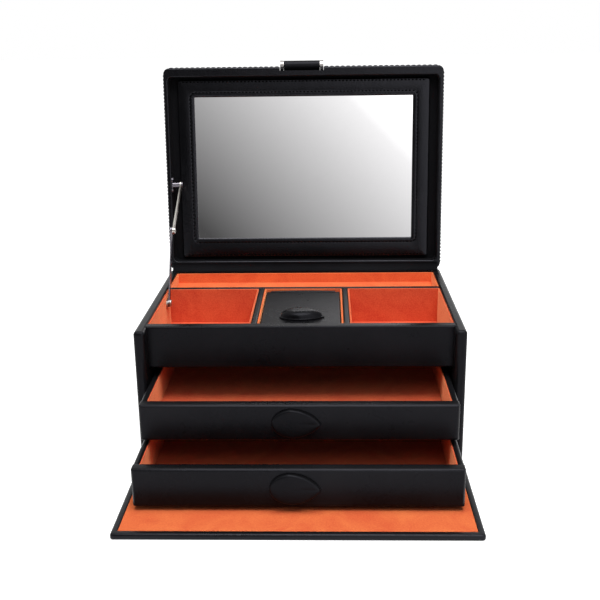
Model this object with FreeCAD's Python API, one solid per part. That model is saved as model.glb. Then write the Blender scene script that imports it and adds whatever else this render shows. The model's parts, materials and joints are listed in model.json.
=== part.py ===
"""Jewelry case: leather-covered boards, a mirrored lid, a lined tray, two drawers and a drop flap.

X runs to the right, Y to the back and Z up. The origin is the middle of the underside of the base.
The case stands as it is shown: lid open, both drawers part way out, the flap flat on the table.
"""
import FreeCAD, Part
import math
import os

V = FreeCAD.Vector

# Case body
CASE_WIDTH = 260.0
CASE_DEPTH = 184.6
CASE_HEIGHT = 112.2
WALL = 9.0
BASE_COVER = 1.2
BASE_BOARD = 6.1
RECESS = 13.0
CASE_EDGE_R = 3.0
BOARD_EDGE_R = 1.6

# Tray at the top of the body
LINING = 1.5
TRAY_CLEAR = 4.7
TRAY_BOARD = 3.0
FASCIA_LAP = 0.6
TRAY_TOP_DROP = 1.0
LINING_DROP = 0.5
SLOT_DEPTH = 10.6
SLOT_LENGTH = 45.4
SLOT_BOARD = 3.0
DIVIDER = 5.2
WELL_HALF_WIDTH = 33.2
PARTITION = 5.3

# Drawers
DRAWER_SIDE_CLEAR = 1.5
DRAWER_BACK_CLEAR = 4.6
DRAWER_FRONT = 8.0
DRAWER_SIDE = 4.6
DRAWER_BOTTOM = 2.6
DRAWER_LINING = 0.9
DRAWER_RUN = 0.4
DRAWER_SIDE_DROP = 0.8
DRAWER_LINING_DROP = 0.6
SHELF = 4.9
FRONTS_GAP = 3.5
LOWER_FRONT_HEIGHT = 30.2
UPPER_FRONT_HEIGHT = 28.9
LOWER_OUT = 97.3
UPPER_OUT = 58.3

# Leaf-shaped pulls on the drawers and on the small case
PULL_WIDTH = 37.0
PULL_MARGIN = 3.0
PULL_DEPTH = 3.4
PULL_OFFSET = -1.8
SMALL_PULL_HEIGHT = 21.0
SMALL_PULL_DEPTH = 7.0
SMALL_PULL_OFFSET = 0.8
PULL_END_SHARES = ((0.5, -0.04), (-0.12, 0.5), (-0.5, 0.0), (-0.04, -0.5))
PULL_ARC_SHARES = ((0.24, 0.35), (-0.39, 0.33), (-0.36, -0.35), (0.29, -0.33))
PULL_RIM_SHARE = 0.3
PULL_CROWN_SHARES = ((-0.5, 0.5), (-0.34, 0.85), (-0.08, 1.0), (0.18, 0.88), (0.5, 0.4))

# Drop flap
FLAP_PANEL = 4.5
FLAP_LINING = 0.9
FLAP_BORDER = 5.0
FLAP_CLEAR = 0.3
FLAP_AXIS_Z = 0.4
HINGE_STRIP = 0.7
HINGE_STRIP_CLEAR = 0.2
KEEPER_R = 6.0
KEEPER = 1.2

# Lid
LID_THICKNESS = 16.0
LID_LEAN = 5.2
LID_GAP = 0.3
LID_CORNER_R = 5.0
LID_EDGE_R = 3.5
LID_RIM_R = 1.2
LID_SIDE_RIM = 4.0
LID_END_RIM = 8.0
LID_RECESS = 11.0
LID_RECESS_R = 4.0

# Mirror and its stitched frame
TROUGH_SIDE = 7.6
TROUGH_LOW = 2.5
TROUGH_HIGH = 4.2
FRAME_SIDE = 15.8
FRAME_LOW = 18.9
FRAME_HIGH = 14.2
FRAME_PAD = 3.8
FRAME_EDGE_R = 1.2
FRAME_CORNER_R = 3.0
MIRROR_LAP = 2.0
MIRROR_GLASS = 2.0
MIRROR_CLEAR = 0.2

# Piano hinge at the back
KNUCKLE_R = 1.7
HINGE_PIN_R = 0.9
HINGE_PIN_CLEAR = 0.05
HINGE_END = 22.0
HINGE_KNUCKLES = 9
KNUCKLE_GAP = 0.5
KNUCKLE_CLEAR = 0.35
LEAF = 0.8
LEAF_WIDTH = 9.0
LEAF_SETBACK = 0.9

# Clasp on the lid's free edge
CLASP_X = -1.2
CLASP_WIDTH = 33.8
CLASP_LUG = 3.1
CLASP_LUG_R = 4.8
CLASP_LUG_FOOT = 2.6
CLASP_CLEAR = 0.2
CLASP_PIN_R = 2.0
CLASP_PIN_CLEAR = 0.05
CLASP_SLEEVE_R = 4.6
CLASP_RISE = 1.9
CLASP_INSET = 1.4
CLASP_NOTCH_CLEAR = 0.3
TAB_LENGTH = 38.0
TAB = 2.2
TAB_END_R = 9.0
MAGNET_R = 5.5
MAGNET = 1.0
MAGNET_DROP = 9.0

# Folding lid stay on the left
STAY_PLANE = 0.4
STAY_LINK = 1.2
STAY_LINK_GAP = 0.4
STAY_LINK_WIDTH = 5.0
STAY_END_R = 3.4
STAY_PIN_R = 1.5
STAY_PIN_CLEAR = 0.05
STAY_SHOULDER_R = 2.6
STAY_HEAD_R = 3.0
STAY_HEAD = 1.1
STAY_HUB = 0.6
STAY_PLATE = 0.8
STAY_PLATE_WIDTH = 8.0
STAY_PLATE_LENGTH = 15.0
STAY_LID_ALONG = 81.6
STAY_LID_INSET = 3.3
STAY_FOOT_BACK = 77.4
STAY_FOOT_DROP = 9.5
STAY_BEND = 18.0
STAY_ELBOW_SHARE = 0.51

# Small case in the middle of the tray
SMALL_CLEAR = 0.4
SMALL_SEAT = 0.3
SMALL_BACK_CLEAR = 3.4
SMALL_SINK = 1.1
SMALL_WALL = 3.2
SMALL_FLOOR = 2.4
SMALL_LINING = 0.8
SMALL_LID = 4.0
SMALL_DOME = 0.8
SMALL_LID_GAP = 0.3
SMALL_LID_EDGE_R = 1.2
SMALL_STRIP = 0.8
SMALL_STRIP_HEIGHT = 10.0
SMALL_STRIP_MARGIN = 4.0

OVERRUN = 5.0
SAME = 1e-4

# Planes that the pieces share
HALF_WIDTH = CASE_WIDTH / 2
FRONT_Y = -CASE_DEPTH / 2
BACK_Y = CASE_DEPTH / 2
BASE_TOP = BASE_COVER + BASE_BOARD
INNER_HALF = HALF_WIDTH - WALL
TRAY_HALF = INNER_HALF + LINING
FASCIA_FRONT = FRONT_Y + RECESS
FASCIA_BACK = FASCIA_FRONT + WALL - LINING
BACK_INNER = BACK_Y - WALL
TRAY_BACK = BACK_INNER + LINING
TRAY_TOP = CASE_HEIGHT - TRAY_TOP_DROP
LINING_TOP = TRAY_TOP - LINING_DROP
SLOT_FLOOR_TOP = CASE_HEIGHT - SLOT_DEPTH - LINING
DIVIDER_BACK = BACK_INNER - SLOT_LENGTH - LINING
DIVIDER_FRONT = DIVIDER_BACK - DIVIDER
PARTITION_IN = WELL_HALF_WIDTH + LINING
PARTITION_OUT = PARTITION_IN + PARTITION
LOWER_Z = BASE_TOP + DRAWER_RUN
LOWER_TOP = LOWER_Z + LOWER_FRONT_HEIGHT
SHELF_Z = LOWER_TOP + DRAWER_RUN
SHELF_TOP = SHELF_Z + SHELF
UPPER_Z = LOWER_TOP + FRONTS_GAP
UPPER_TOP = UPPER_Z + UPPER_FRONT_HEIGHT
UPPER_BOX_Z = SHELF_TOP + DRAWER_RUN
TRAY_FLOOR_LOW = UPPER_TOP + TRAY_CLEAR
TRAY_FLOOR_TOP = TRAY_FLOOR_LOW + TRAY_BOARD
DRAWER_HALF = INNER_HALF - DRAWER_SIDE_CLEAR
DRAWER_LENGTH = BACK_INNER - FASCIA_FRONT - DRAWER_BACK_CLEAR
LOWER_FRONT_Y = FASCIA_FRONT - LOWER_OUT
UPPER_FRONT_Y = FASCIA_FRONT - UPPER_OUT
FLAP_AXIS_Y = FRONT_Y - FLAP_CLEAR - FLAP_PANEL + FLAP_AXIS_Z
FLAP_END = FLAP_AXIS_Y + FLAP_AXIS_Z + FLAP_CLEAR - CASE_HEIGHT
LID_AXIS_Z = CASE_HEIGHT + LID_GAP
LID_LENGTH = CASE_DEPTH + FLAP_CLEAR + FLAP_PANEL
FRAME_HALF_WIDTH = HALF_WIDTH - LID_SIDE_RIM - TROUGH_SIDE
FRAME_BOTTOM = LID_END_RIM + TROUGH_LOW
FRAME_TOP = LID_LENGTH - LID_END_RIM - TROUGH_HIGH
MIRROR_HALF_WIDTH = FRAME_HALF_WIDTH - FRAME_SIDE
MIRROR_BOTTOM = FRAME_BOTTOM + FRAME_LOW
MIRROR_TOP = FRAME_TOP - FRAME_HIGH
HINGE_HALF = HALF_WIDTH - HINGE_END
CLASP_ALONG = LID_LENGTH + CLASP_RISE
CLASP_BACK = LID_THICKNESS - CLASP_INSET
CLASP_NOTCH = CLASP_ALONG - CLASP_SLEEVE_R - CLASP_NOTCH_CLEAR
STAY_WALL = -INNER_HALF
STAY_LOWER_X = STAY_WALL + STAY_PLATE + STAY_PLANE
STAY_UPPER_X = STAY_LOWER_X + STAY_LINK + STAY_LINK_GAP
SMALL_HALF = WELL_HALF_WIDTH - SMALL_CLEAR
SMALL_FRONT = FASCIA_BACK + LINING + SMALL_CLEAR
SMALL_BACK = DIVIDER_FRONT - LINING - SMALL_BACK_CLEAR
SMALL_Z = TRAY_FLOOR_TOP + LINING + SMALL_SEAT
SMALL_TOP = TRAY_TOP - SMALL_SINK - SMALL_DOME - SMALL_LID - SMALL_LID_GAP


def save(name, shape):
    """Write one named piece."""
    shape.exportStep(os.path.join("parts", name + ".step"))


def block(x0, x1, y0, y1, z0, z1):
    """A box between three pairs of planes."""
    return Part.makeBox(x1 - x0, y1 - y0, z1 - z0, V(x0, y0, z0))


def edges_on(shape, axis, value):
    """The edges that lie in the plane where one coordinate has the given value."""
    return [e for e in shape.Edges if all(abs(getattr(v.Point, axis) - value) < SAME for v in e.Vertexes)]


def soften(shape, radius, *planes):
    """Round every edge that lies in one of the planes, each given as an axis and a value."""
    chosen = []
    for axis, value in planes:
        for edge in edges_on(shape, axis, value):
            if not any(edge.isSame(other) for other in chosen):
                chosen.append(edge)
    return shape.makeFillet(radius, chosen)


def round_corners(shape, radius, axis):
    """Round the edges of a box that run along one axis."""
    way = {"x": V(1, 0, 0), "y": V(0, 1, 0), "z": V(0, 0, 1)}[axis]
    runs = [(e, e.Vertexes[1].Point - e.Vertexes[0].Point) for e in shape.Edges]
    return shape.makeFillet(radius, [e for e, run in runs if run.cross(way).Length < SAME])


def rod(radius, x0, x1, y, z):
    """A round bar along X."""
    return Part.makeCylinder(radius, x1 - x0, V(x0, y, z), V(1, 0, 0))


def open_box(x0, x1, y0, y1, z0, z1, wall):
    """A thin tray with a floor and four walls, open at the top."""
    hollow = block(x0 + wall, x1 - wall, y0 + wall, y1 - wall, z0 + wall, z1 + OVERRUN)
    return block(x0, x1, y0, y1, z0, z1).cut(hollow)


def lean(shape):
    """Stand a piece of the upright lid, hinged at its origin, at its open angle on the case."""
    shape = shape.copy()
    shape.rotate(V(0, 0, 0), V(1, 0, 0), -LID_LEAN)
    shape.translate(V(0, BACK_Y, LID_AXIS_Z))
    return shape


def case_boards():
    """The leather-covered boards of the body, the shelf between the drawers and the base cover."""
    save("base_cover", block(-HALF_WIDTH, HALF_WIDTH, FRONT_Y, BACK_Y, 0, BASE_COVER))
    save("base_panel", block(-INNER_HALF, INNER_HALF, FRONT_Y, BACK_INNER, BASE_COVER, BASE_TOP))

    rebate = block(INNER_HALF - OVERRUN, TRAY_HALF, FASCIA_FRONT, TRAY_BACK,
                   TRAY_FLOOR_LOW, CASE_HEIGHT + OVERRUN)
    side = block(INNER_HALF, HALF_WIDTH, FRONT_Y, BACK_Y, BASE_COVER, CASE_HEIGHT)
    side = soften(side, CASE_EDGE_R, ("y", FRONT_Y), ("z", CASE_HEIGHT)).cut(rebate)
    save("side_panel_right", side)
    save("side_panel_left", side.mirror(V(0, 0, 0), V(1, 0, 0)))

    back = block(-INNER_HALF, INNER_HALF, BACK_INNER, BACK_Y, BASE_COVER, CASE_HEIGHT)
    back = back.cut(block(-INNER_HALF, INNER_HALF, BACK_INNER, TRAY_BACK, TRAY_FLOOR_LOW, CASE_HEIGHT))
    leaf_seat = block(-HINGE_HALF, HINGE_HALF, BACK_Y - LEAF, BACK_Y, LID_AXIS_Z - LEAF_WIDTH, CASE_HEIGHT)
    save("back_panel", back.cut(leaf_seat).cut(knuckle_room(BACK_Y, LID_AXIS_Z)))

    shelf_front = FASCIA_FRONT + DRAWER_FRONT + DRAWER_RUN
    save("drawer_shelf", block(-INNER_HALF, INNER_HALF, shelf_front, BACK_INNER, SHELF_Z, SHELF_TOP))


def tray():
    """The fascia, floor, slot, divider and partitions of the tray, with their suede linings."""
    fascia = block(-TRAY_HALF, TRAY_HALF, FASCIA_FRONT, FASCIA_BACK, TRAY_FLOOR_TOP - FASCIA_LAP, CASE_HEIGHT)
    save("front_fascia", soften(fascia, BOARD_EDGE_R, ("y", FASCIA_FRONT)))
    save("tray_floor", block(-TRAY_HALF, TRAY_HALF, FASCIA_BACK, TRAY_BACK, TRAY_FLOOR_LOW, TRAY_FLOOR_TOP))
    divider = block(-TRAY_HALF, TRAY_HALF, DIVIDER_FRONT, DIVIDER_BACK, TRAY_FLOOR_TOP, TRAY_TOP)
    save("slot_divider", soften(divider, BOARD_EDGE_R, ("z", TRAY_TOP)))
    slot_low = SLOT_FLOOR_TOP - SLOT_BOARD
    save("slot_floor", block(-TRAY_HALF, TRAY_HALF, DIVIDER_BACK, TRAY_BACK, slot_low, SLOT_FLOOR_TOP))
    save("slot_lining",
         open_box(-TRAY_HALF, TRAY_HALF, DIVIDER_BACK, TRAY_BACK, SLOT_FLOOR_TOP, LINING_TOP, LINING))

    partition = block(PARTITION_IN, PARTITION_OUT, FASCIA_BACK, DIVIDER_FRONT, TRAY_FLOOR_TOP, TRAY_TOP)
    partition = soften(partition, BOARD_EDGE_R, ("z", TRAY_TOP))
    save("partition_right", partition)
    save("partition_left", partition.mirror(V(0, 0, 0), V(1, 0, 0)))
    bays = {
        "tray_lining_left": (-TRAY_HALF, -PARTITION_OUT),
        "well_lining": (-PARTITION_IN, PARTITION_IN),
        "tray_lining_right": (PARTITION_OUT, TRAY_HALF),
    }
    for name, (x0, x1) in bays.items():
        save(name, open_box(x0, x1, FASCIA_BACK, DIVIDER_FRONT, TRAY_FLOOR_TOP, LINING_TOP, LINING))


def leaf_outline(width, height):
    """The leaf outline of a pull, blunt at the left and pointed at the right, as four arcs."""
    ends = [V(x * width, y * height, 0) for x, y in PULL_END_SHARES]
    ways = [V(x * width, y * height, 0) for x, y in PULL_ARC_SHARES]
    arcs = [Part.Arc(ends[i], ways[i], ends[(i + 1) % len(ends)]).toShape() for i in range(len(ends))]
    return Part.Wire(arcs)


def leaf_pull(width, height, depth):
    """A padded leaf that stands up from its own XY plane: an upright rim under a turned crown."""
    rim = depth * PULL_RIM_SHARE
    sunk = ((height / 2) ** 2 + rim ** 2 - depth ** 2) / (2 * (depth - rim))
    profile = [V(x * width, 0, share * depth) for x, share in PULL_CROWN_SHARES]
    below = [V(profile[end].x, 0, -sunk) for end in (-1, 0)]
    half_turned = Part.Face(Part.makePolygon(profile + below + profile[:1]))
    crown = half_turned.revolve(below[0], V(1, 0, 0), 360)
    return Part.Face(leaf_outline(width, height)).extrude(V(0, 0, depth)).common(crown)


def drawer(name, front_y, front_z, top, box_z):
    """One drawer: five leather-covered boards, a suede lining and a leaf-shaped pull."""
    half = DRAWER_HALF
    inner = half - DRAWER_SIDE
    box_front = front_y + DRAWER_FRONT
    box_back = front_y + DRAWER_LENGTH
    side_top = top - DRAWER_SIDE_DROP

    front = block(-half, half, front_y, box_front, front_z, top)
    save(name + "_front", soften(front, BOARD_EDGE_R, ("y", front_y), ("z", top)))
    side = soften(block(inner, half, box_front, box_back, box_z, side_top), BOARD_EDGE_R, ("z", side_top))
    save(name + "_side_right", side)
    save(name + "_side_left", side.mirror(V(0, 0, 0), V(1, 0, 0)))
    back = block(-inner, inner, box_back - DRAWER_SIDE, box_back, box_z, side_top)
    save(name + "_back", soften(back, BOARD_EDGE_R, ("z", side_top)))
    floor_top = box_z + DRAWER_BOTTOM
    save(name + "_bottom", block(-inner, inner, box_front, box_back - DRAWER_SIDE, box_z, floor_top))
    lining_top = side_top - DRAWER_LINING_DROP
    save(name + "_lining",
         open_box(-inner, inner, box_front, box_back - DRAWER_SIDE, floor_top, lining_top, DRAWER_LINING))

    pull = leaf_pull(PULL_WIDTH, top - front_z - 2 * PULL_MARGIN, PULL_DEPTH)
    pull.rotate(V(0, 0, 0), V(1, 0, 0), 90)
    pull.translate(V(PULL_OFFSET, front_y, (front_z + top) / 2))
    save(name + "_pull", pull)


def flap():
    """The drop flap, flat on the table, with its inlaid lining, hidden keeper and leather hinge strip."""
    near = FLAP_AXIS_Y - HINGE_STRIP_CLEAR
    lining_low = FLAP_PANEL - FLAP_LINING
    lining_half = HALF_WIDTH - FLAP_BORDER
    lining = block(-lining_half, lining_half, FLAP_END + FLAP_BORDER, near - FLAP_BORDER,
                   lining_low, FLAP_PANEL)
    magnet_height = LID_AXIS_Z + CLASP_BACK - TAB_LENGTH + MAGNET_DROP
    keeper_y = FLAP_AXIS_Y + FLAP_AXIS_Z - magnet_height
    keeper = Part.makeCylinder(KEEPER_R, KEEPER, V(CLASP_X, keeper_y, lining_low - KEEPER))
    panel = block(-HALF_WIDTH, HALF_WIDTH, FLAP_END, near, 0, FLAP_PANEL)
    panel = soften(panel, BOARD_EDGE_R, ("z", FLAP_PANEL))
    save("flap_panel", panel.cut(lining).cut(keeper))
    save("flap_lining", lining)
    save("flap_keeper", keeper)
    save("flap_hinge_strip", block(-HALF_WIDTH, HALF_WIDTH, FLAP_AXIS_Y, FRONT_Y, 0, HINGE_STRIP))


def lid():
    """The lid's tray-shaped shell, the padded mirror frame and the glass behind it."""
    shell = block(-HALF_WIDTH, HALF_WIDTH, 0, LID_THICKNESS, 0, LID_LENGTH)
    shell = round_corners(shell, LID_CORNER_R, "y")
    shell = soften(shell, LID_EDGE_R, ("y", LID_THICKNESS))
    inner = HALF_WIDTH - LID_SIDE_RIM
    recess = block(-inner, inner, -OVERRUN, LID_RECESS, LID_END_RIM, LID_LENGTH - LID_END_RIM)
    shell = shell.cut(round_corners(recess, LID_RECESS_R, "y"))
    shell = soften(shell, LID_RIM_R, ("y", 0))
    leaf_seat = block(-HINGE_HALF, HINGE_HALF, 0, LEAF_WIDTH, 0, LEAF)
    notch_half = CLASP_WIDTH / 2 + CLASP_LUG + CLASP_CLEAR + CLASP_NOTCH_CLEAR
    notch = block(CLASP_X - notch_half, CLASP_X + notch_half, -OVERRUN, LID_THICKNESS + OVERRUN,
                  CLASP_NOTCH, LID_LENGTH + OVERRUN)
    save("lid_shell", lean(shell.cut(leaf_seat).cut(knuckle_room(0, 0)).cut(notch)))

    face = LID_RECESS - FRAME_PAD
    frame = block(-FRAME_HALF_WIDTH, FRAME_HALF_WIDTH, face, LID_RECESS, FRAME_BOTTOM, FRAME_TOP)
    frame = round_corners(frame, FRAME_CORNER_R, "y")
    frame = frame.cut(block(-MIRROR_HALF_WIDTH, MIRROR_HALF_WIDTH, face - OVERRUN, LID_RECESS + OVERRUN,
                            MIRROR_BOTTOM, MIRROR_TOP))
    frame = soften(frame, FRAME_EDGE_R, ("y", face))
    glass_front = LID_RECESS - MIRROR_GLASS
    seat = MIRROR_LAP + MIRROR_CLEAR
    frame = frame.cut(block(-MIRROR_HALF_WIDTH - seat, MIRROR_HALF_WIDTH + seat, glass_front, LID_RECESS,
                            MIRROR_BOTTOM - seat, MIRROR_TOP + seat))
    save("mirror_frame", lean(frame))
    half = MIRROR_HALF_WIDTH + MIRROR_LAP
    glass = block(-half, half, glass_front, LID_RECESS, MIRROR_BOTTOM - MIRROR_LAP, MIRROR_TOP + MIRROR_LAP)
    save("mirror_glass", lean(glass))


def knuckle_room(y, z):
    """The round channel that the hinge knuckles turn in."""
    reach = HINGE_HALF + KNUCKLE_GAP
    return rod(KNUCKLE_R + KNUCKLE_CLEAR, -reach, reach, y, z)


def hinge():
    """A piano hinge along the back edge: a leaf on the case, a leaf on the lid and one pin."""
    half = HINGE_HALF
    step = 2 * half / HINGE_KNUCKLES
    starts = [-half + i * step for i in range(HINGE_KNUCKLES)]

    def barrels(first, radius, grow):
        return [rod(radius, x - grow, x + step - KNUCKLE_GAP + grow, 0, 0) for x in starts[first::2]]

    plates = [
        block(-half, half, -LEAF, 0, -LEAF_WIDTH, -LEAF_SETBACK),
        block(-half, half, LEAF_SETBACK, LEAF_WIDTH, 0, LEAF),
    ]
    bore = rod(HINGE_PIN_R + HINGE_PIN_CLEAR, -half - OVERRUN, half + OVERRUN, 0, 0)
    leaves = []
    for first, plate in enumerate(plates):
        for room in barrels(1 - first, KNUCKLE_R + KNUCKLE_CLEAR, KNUCKLE_GAP / 2):
            plate = plate.cut(room)
        leaves.append(plate.multiFuse(barrels(first, KNUCKLE_R, 0)).removeSplitter().cut(bore))
    leaves[0].translate(V(0, BACK_Y, LID_AXIS_Z))
    save("hinge_leaf_case", leaves[0])
    save("hinge_leaf_lid", lean(leaves[1]))
    save("hinge_pin", rod(HINGE_PIN_R, -half, half - KNUCKLE_GAP, BACK_Y, LID_AXIS_Z))


def clasp():
    """Two bright lugs in the lid's notch, their pin, and the leather tab with a magnet that swings on it."""
    half = CLASP_WIDTH / 2
    pin_reach = half + CLASP_CLEAR + CLASP_LUG
    pin = rod(CLASP_PIN_R, CLASP_X - pin_reach, CLASP_X + pin_reach, CLASP_BACK, CLASP_ALONG)
    lugs = []
    for x0 in (CLASP_X - pin_reach, CLASP_X + half + CLASP_CLEAR):
        eye = rod(CLASP_LUG_R, x0, x0 + CLASP_LUG, CLASP_BACK, CLASP_ALONG)
        foot = block(x0, x0 + CLASP_LUG, CLASP_BACK - CLASP_LUG_FOOT / 2, CLASP_BACK + CLASP_LUG_FOOT / 2,
                     CLASP_NOTCH, CLASP_ALONG)
        low = block(x0, x0 + CLASP_LUG, CLASP_BACK - CLASP_LUG_R, CLASP_BACK + CLASP_LUG_R,
                    CLASP_NOTCH - OVERRUN, CLASP_NOTCH)
        lugs.append(eye.fuse(foot).cut(low).cut(pin))
    save("clasp_pin", lean(pin))
    save("clasp_lugs", lean(Part.makeCompound(lugs)))

    x0, x1 = CLASP_X - half, CLASP_X + half
    sleeve = rod(CLASP_SLEEVE_R, x0, x1, CLASP_BACK, CLASP_ALONG)
    tab_back = CLASP_BACK + CLASP_SLEEVE_R
    strap = block(x0, x1, tab_back - TAB, tab_back, CLASP_ALONG - TAB_LENGTH, CLASP_ALONG)
    corners = [e for e in strap.Edges if e.BoundBox.YLength > SAME and e.BoundBox.ZMax < CLASP_ALONG - TAB]
    strap = strap.makeFillet(TAB_END_R, [e for e in corners if e.BoundBox.XLength < TAB])
    magnet_place = V(CLASP_X, tab_back - TAB, CLASP_ALONG - TAB_LENGTH + MAGNET_DROP)
    magnet = Part.makeCylinder(MAGNET_R, MAGNET, magnet_place, V(0, 1, 0))
    bore = rod(CLASP_PIN_R + CLASP_PIN_CLEAR, x0 - OVERRUN, x1 + OVERRUN, CLASP_BACK, CLASP_ALONG)
    save("clasp_tab", lean(sleeve.fuse(strap).removeSplitter().cut(bore).cut(magnet)))
    save("clasp_magnet", lean(magnet))


def stay_points():
    """The pivots of the folding stay at rest, as pairs of Y and Z: foot, elbow and head."""
    angle = math.radians(LID_LEAN)
    head = (BACK_Y + STAY_LID_ALONG * math.sin(angle) + STAY_LID_INSET * math.cos(angle),
            LID_AXIS_Z + STAY_LID_ALONG * math.cos(angle) - STAY_LID_INSET * math.sin(angle))
    foot = (BACK_Y - STAY_FOOT_BACK, CASE_HEIGHT - STAY_FOOT_DROP)
    run, rise = head[0] - foot[0], head[1] - foot[1]
    span = math.hypot(run, rise)
    knee = (foot[0] + run * STAY_ELBOW_SHARE - rise * STAY_BEND / span,
            foot[1] + rise * STAY_ELBOW_SHARE + run * STAY_BEND / span)
    return foot, knee, head


def link(start, end, x0):
    """A flat stay link between two pivots, with a round eye at each end."""
    run, rise = end[0] - start[0], end[1] - start[1]
    length = math.hypot(run, rise)
    bar = block(x0, x0 + STAY_LINK, 0, length, -STAY_LINK_WIDTH / 2, STAY_LINK_WIDTH / 2)
    bar = bar.multiFuse([rod(STAY_END_R, x0, x0 + STAY_LINK, y, 0) for y in (0, length)]).removeSplitter()
    bar.rotate(V(0, 0, 0), V(1, 0, 0), math.degrees(math.atan2(rise, run)))
    bar.translate(V(0, start[0], start[1]))
    return bar


def stay():
    """The folding stay: a bracket on the wall, a bracket in the lid and two links that meet at the elbow."""
    foot, knee, head = stay_points()
    eye = STAY_PIN_R + STAY_PIN_CLEAR

    lower_end = STAY_LOWER_X + STAY_LINK
    lower = link(foot, knee, STAY_LOWER_X).cut(rod(eye, STAY_LOWER_X, lower_end, *foot))
    save("stay_lower_link", lower.fuse(rod(STAY_HEAD_R, STAY_LOWER_X - STAY_HUB, STAY_LOWER_X, *knee)))
    upper_end = STAY_UPPER_X + STAY_LINK
    upper = link(head, knee, STAY_UPPER_X).cut(rod(eye, STAY_UPPER_X, upper_end, *head))
    save("stay_upper_link", upper.fuse(rod(STAY_HEAD_R, upper_end, upper_end + STAY_HEAD, *knee)))

    plate_end = STAY_WALL + STAY_PLATE
    foot_plate = block(STAY_WALL, plate_end,
                       foot[0] - STAY_PLATE_LENGTH / 2, foot[0] + STAY_PLATE_LENGTH / 2,
                       foot[1] - STAY_PLATE_WIDTH / 2, foot[1] + STAY_PLATE_WIDTH / 2)
    foot_plate = round_corners(foot_plate, STAY_END_R, "x")
    save("stay_bracket_case", pivot(foot_plate, plate_end, STAY_LOWER_X, *foot))

    lid_wall = -HALF_WIDTH + LID_SIDE_RIM
    low = LID_RIM_R
    head_plate = block(lid_wall, lid_wall + STAY_PLATE, low, low + STAY_PLATE_WIDTH,
                       STAY_LID_ALONG - STAY_PLATE_LENGTH / 2, STAY_LID_ALONG + STAY_PLATE_LENGTH / 2)
    head_plate = round_corners(head_plate, STAY_END_R, "x")
    save("stay_bracket_lid",
         lean(pivot(head_plate, lid_wall + STAY_PLATE, STAY_UPPER_X, STAY_LID_INSET, STAY_LID_ALONG)))


def pivot(plate, plate_end, link_x, y, z):
    """Add a shouldered pin with a riveted head, which carries a link, to a bracket's plate."""
    shoulder_end = link_x - STAY_LINK_GAP / 2
    head_start = link_x + STAY_LINK + STAY_LINK_GAP / 2
    pieces = [
        rod(STAY_SHOULDER_R, plate_end, shoulder_end, y, z),
        rod(STAY_PIN_R, plate_end, head_start + STAY_HEAD, y, z),
        rod(STAY_HEAD_R, head_start, head_start + STAY_HEAD, y, z),
    ]
    return plate.multiFuse(pieces).removeSplitter()


def small_case():
    """The small lift-out case: a lined box, a domed lid with a leaf-shaped pull and a leather hinge strip."""
    box = block(-SMALL_HALF, SMALL_HALF, SMALL_FRONT, SMALL_BACK, SMALL_Z, SMALL_TOP)
    box = round_corners(box, BOARD_EDGE_R, "z")
    floor_top = SMALL_Z + SMALL_FLOOR
    x1, y0, y1 = SMALL_HALF - SMALL_WALL, SMALL_FRONT + SMALL_WALL, SMALL_BACK - SMALL_WALL
    save("small_case_box", box.cut(block(-x1, x1, y0, y1, floor_top, SMALL_TOP + OVERRUN)))
    save("small_case_lining", open_box(-x1, x1, y0, y1, floor_top, SMALL_TOP - SMALL_LINING, SMALL_LINING))

    low = SMALL_TOP + SMALL_LID_GAP
    high = low + SMALL_LID
    outline = [V(-SMALL_HALF, SMALL_FRONT, high), V(-SMALL_HALF, SMALL_FRONT, low),
               V(SMALL_HALF, SMALL_FRONT, low), V(SMALL_HALF, SMALL_FRONT, high)]
    crown = Part.Arc(outline[-1], V(0, SMALL_FRONT, high + SMALL_DOME), outline[0]).toShape()
    end_face = Part.Face(Part.Wire(Part.makePolygon(outline).Edges + [crown]))
    top = end_face.extrude(V(0, SMALL_BACK - SMALL_LID_GAP - SMALL_FRONT, 0))
    top = top.makeFillet(SMALL_LID_EDGE_R, edges_on(top, "z", high))
    pull = leaf_pull(PULL_WIDTH, SMALL_PULL_HEIGHT, SMALL_DOME + SMALL_PULL_DEPTH)
    pull.translate(V(SMALL_PULL_OFFSET, SMALL_FRONT + SMALL_PULL_HEIGHT, high))
    save("small_case_lid", top)
    save("small_case_pull", pull.cut(top))
    reach = SMALL_HALF - SMALL_STRIP_MARGIN
    strip_low = SMALL_TOP - SMALL_STRIP_HEIGHT
    save("small_case_hinge",
         block(-reach, reach, SMALL_BACK, SMALL_BACK + SMALL_STRIP, strip_low, high))


def main():
    """Make every piece."""
    os.makedirs("parts", exist_ok=True)
    case_boards()
    tray()
    drawer("upper_drawer", UPPER_FRONT_Y, UPPER_Z, UPPER_TOP, UPPER_BOX_Z)
    drawer("lower_drawer", LOWER_FRONT_Y, LOWER_Z, LOWER_TOP, LOWER_Z)
    flap()
    lid()
    hinge()
    clasp()
    stay()
    small_case()


main()
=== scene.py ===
"""A black leather jewelry case with suede linings, dressed on its CAD frame."""

import json
import math

import bmesh
import bpy
from bpy.props import FloatProperty, FloatVectorProperty, PointerProperty
from mathutils import Matrix, Vector, noise


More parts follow.
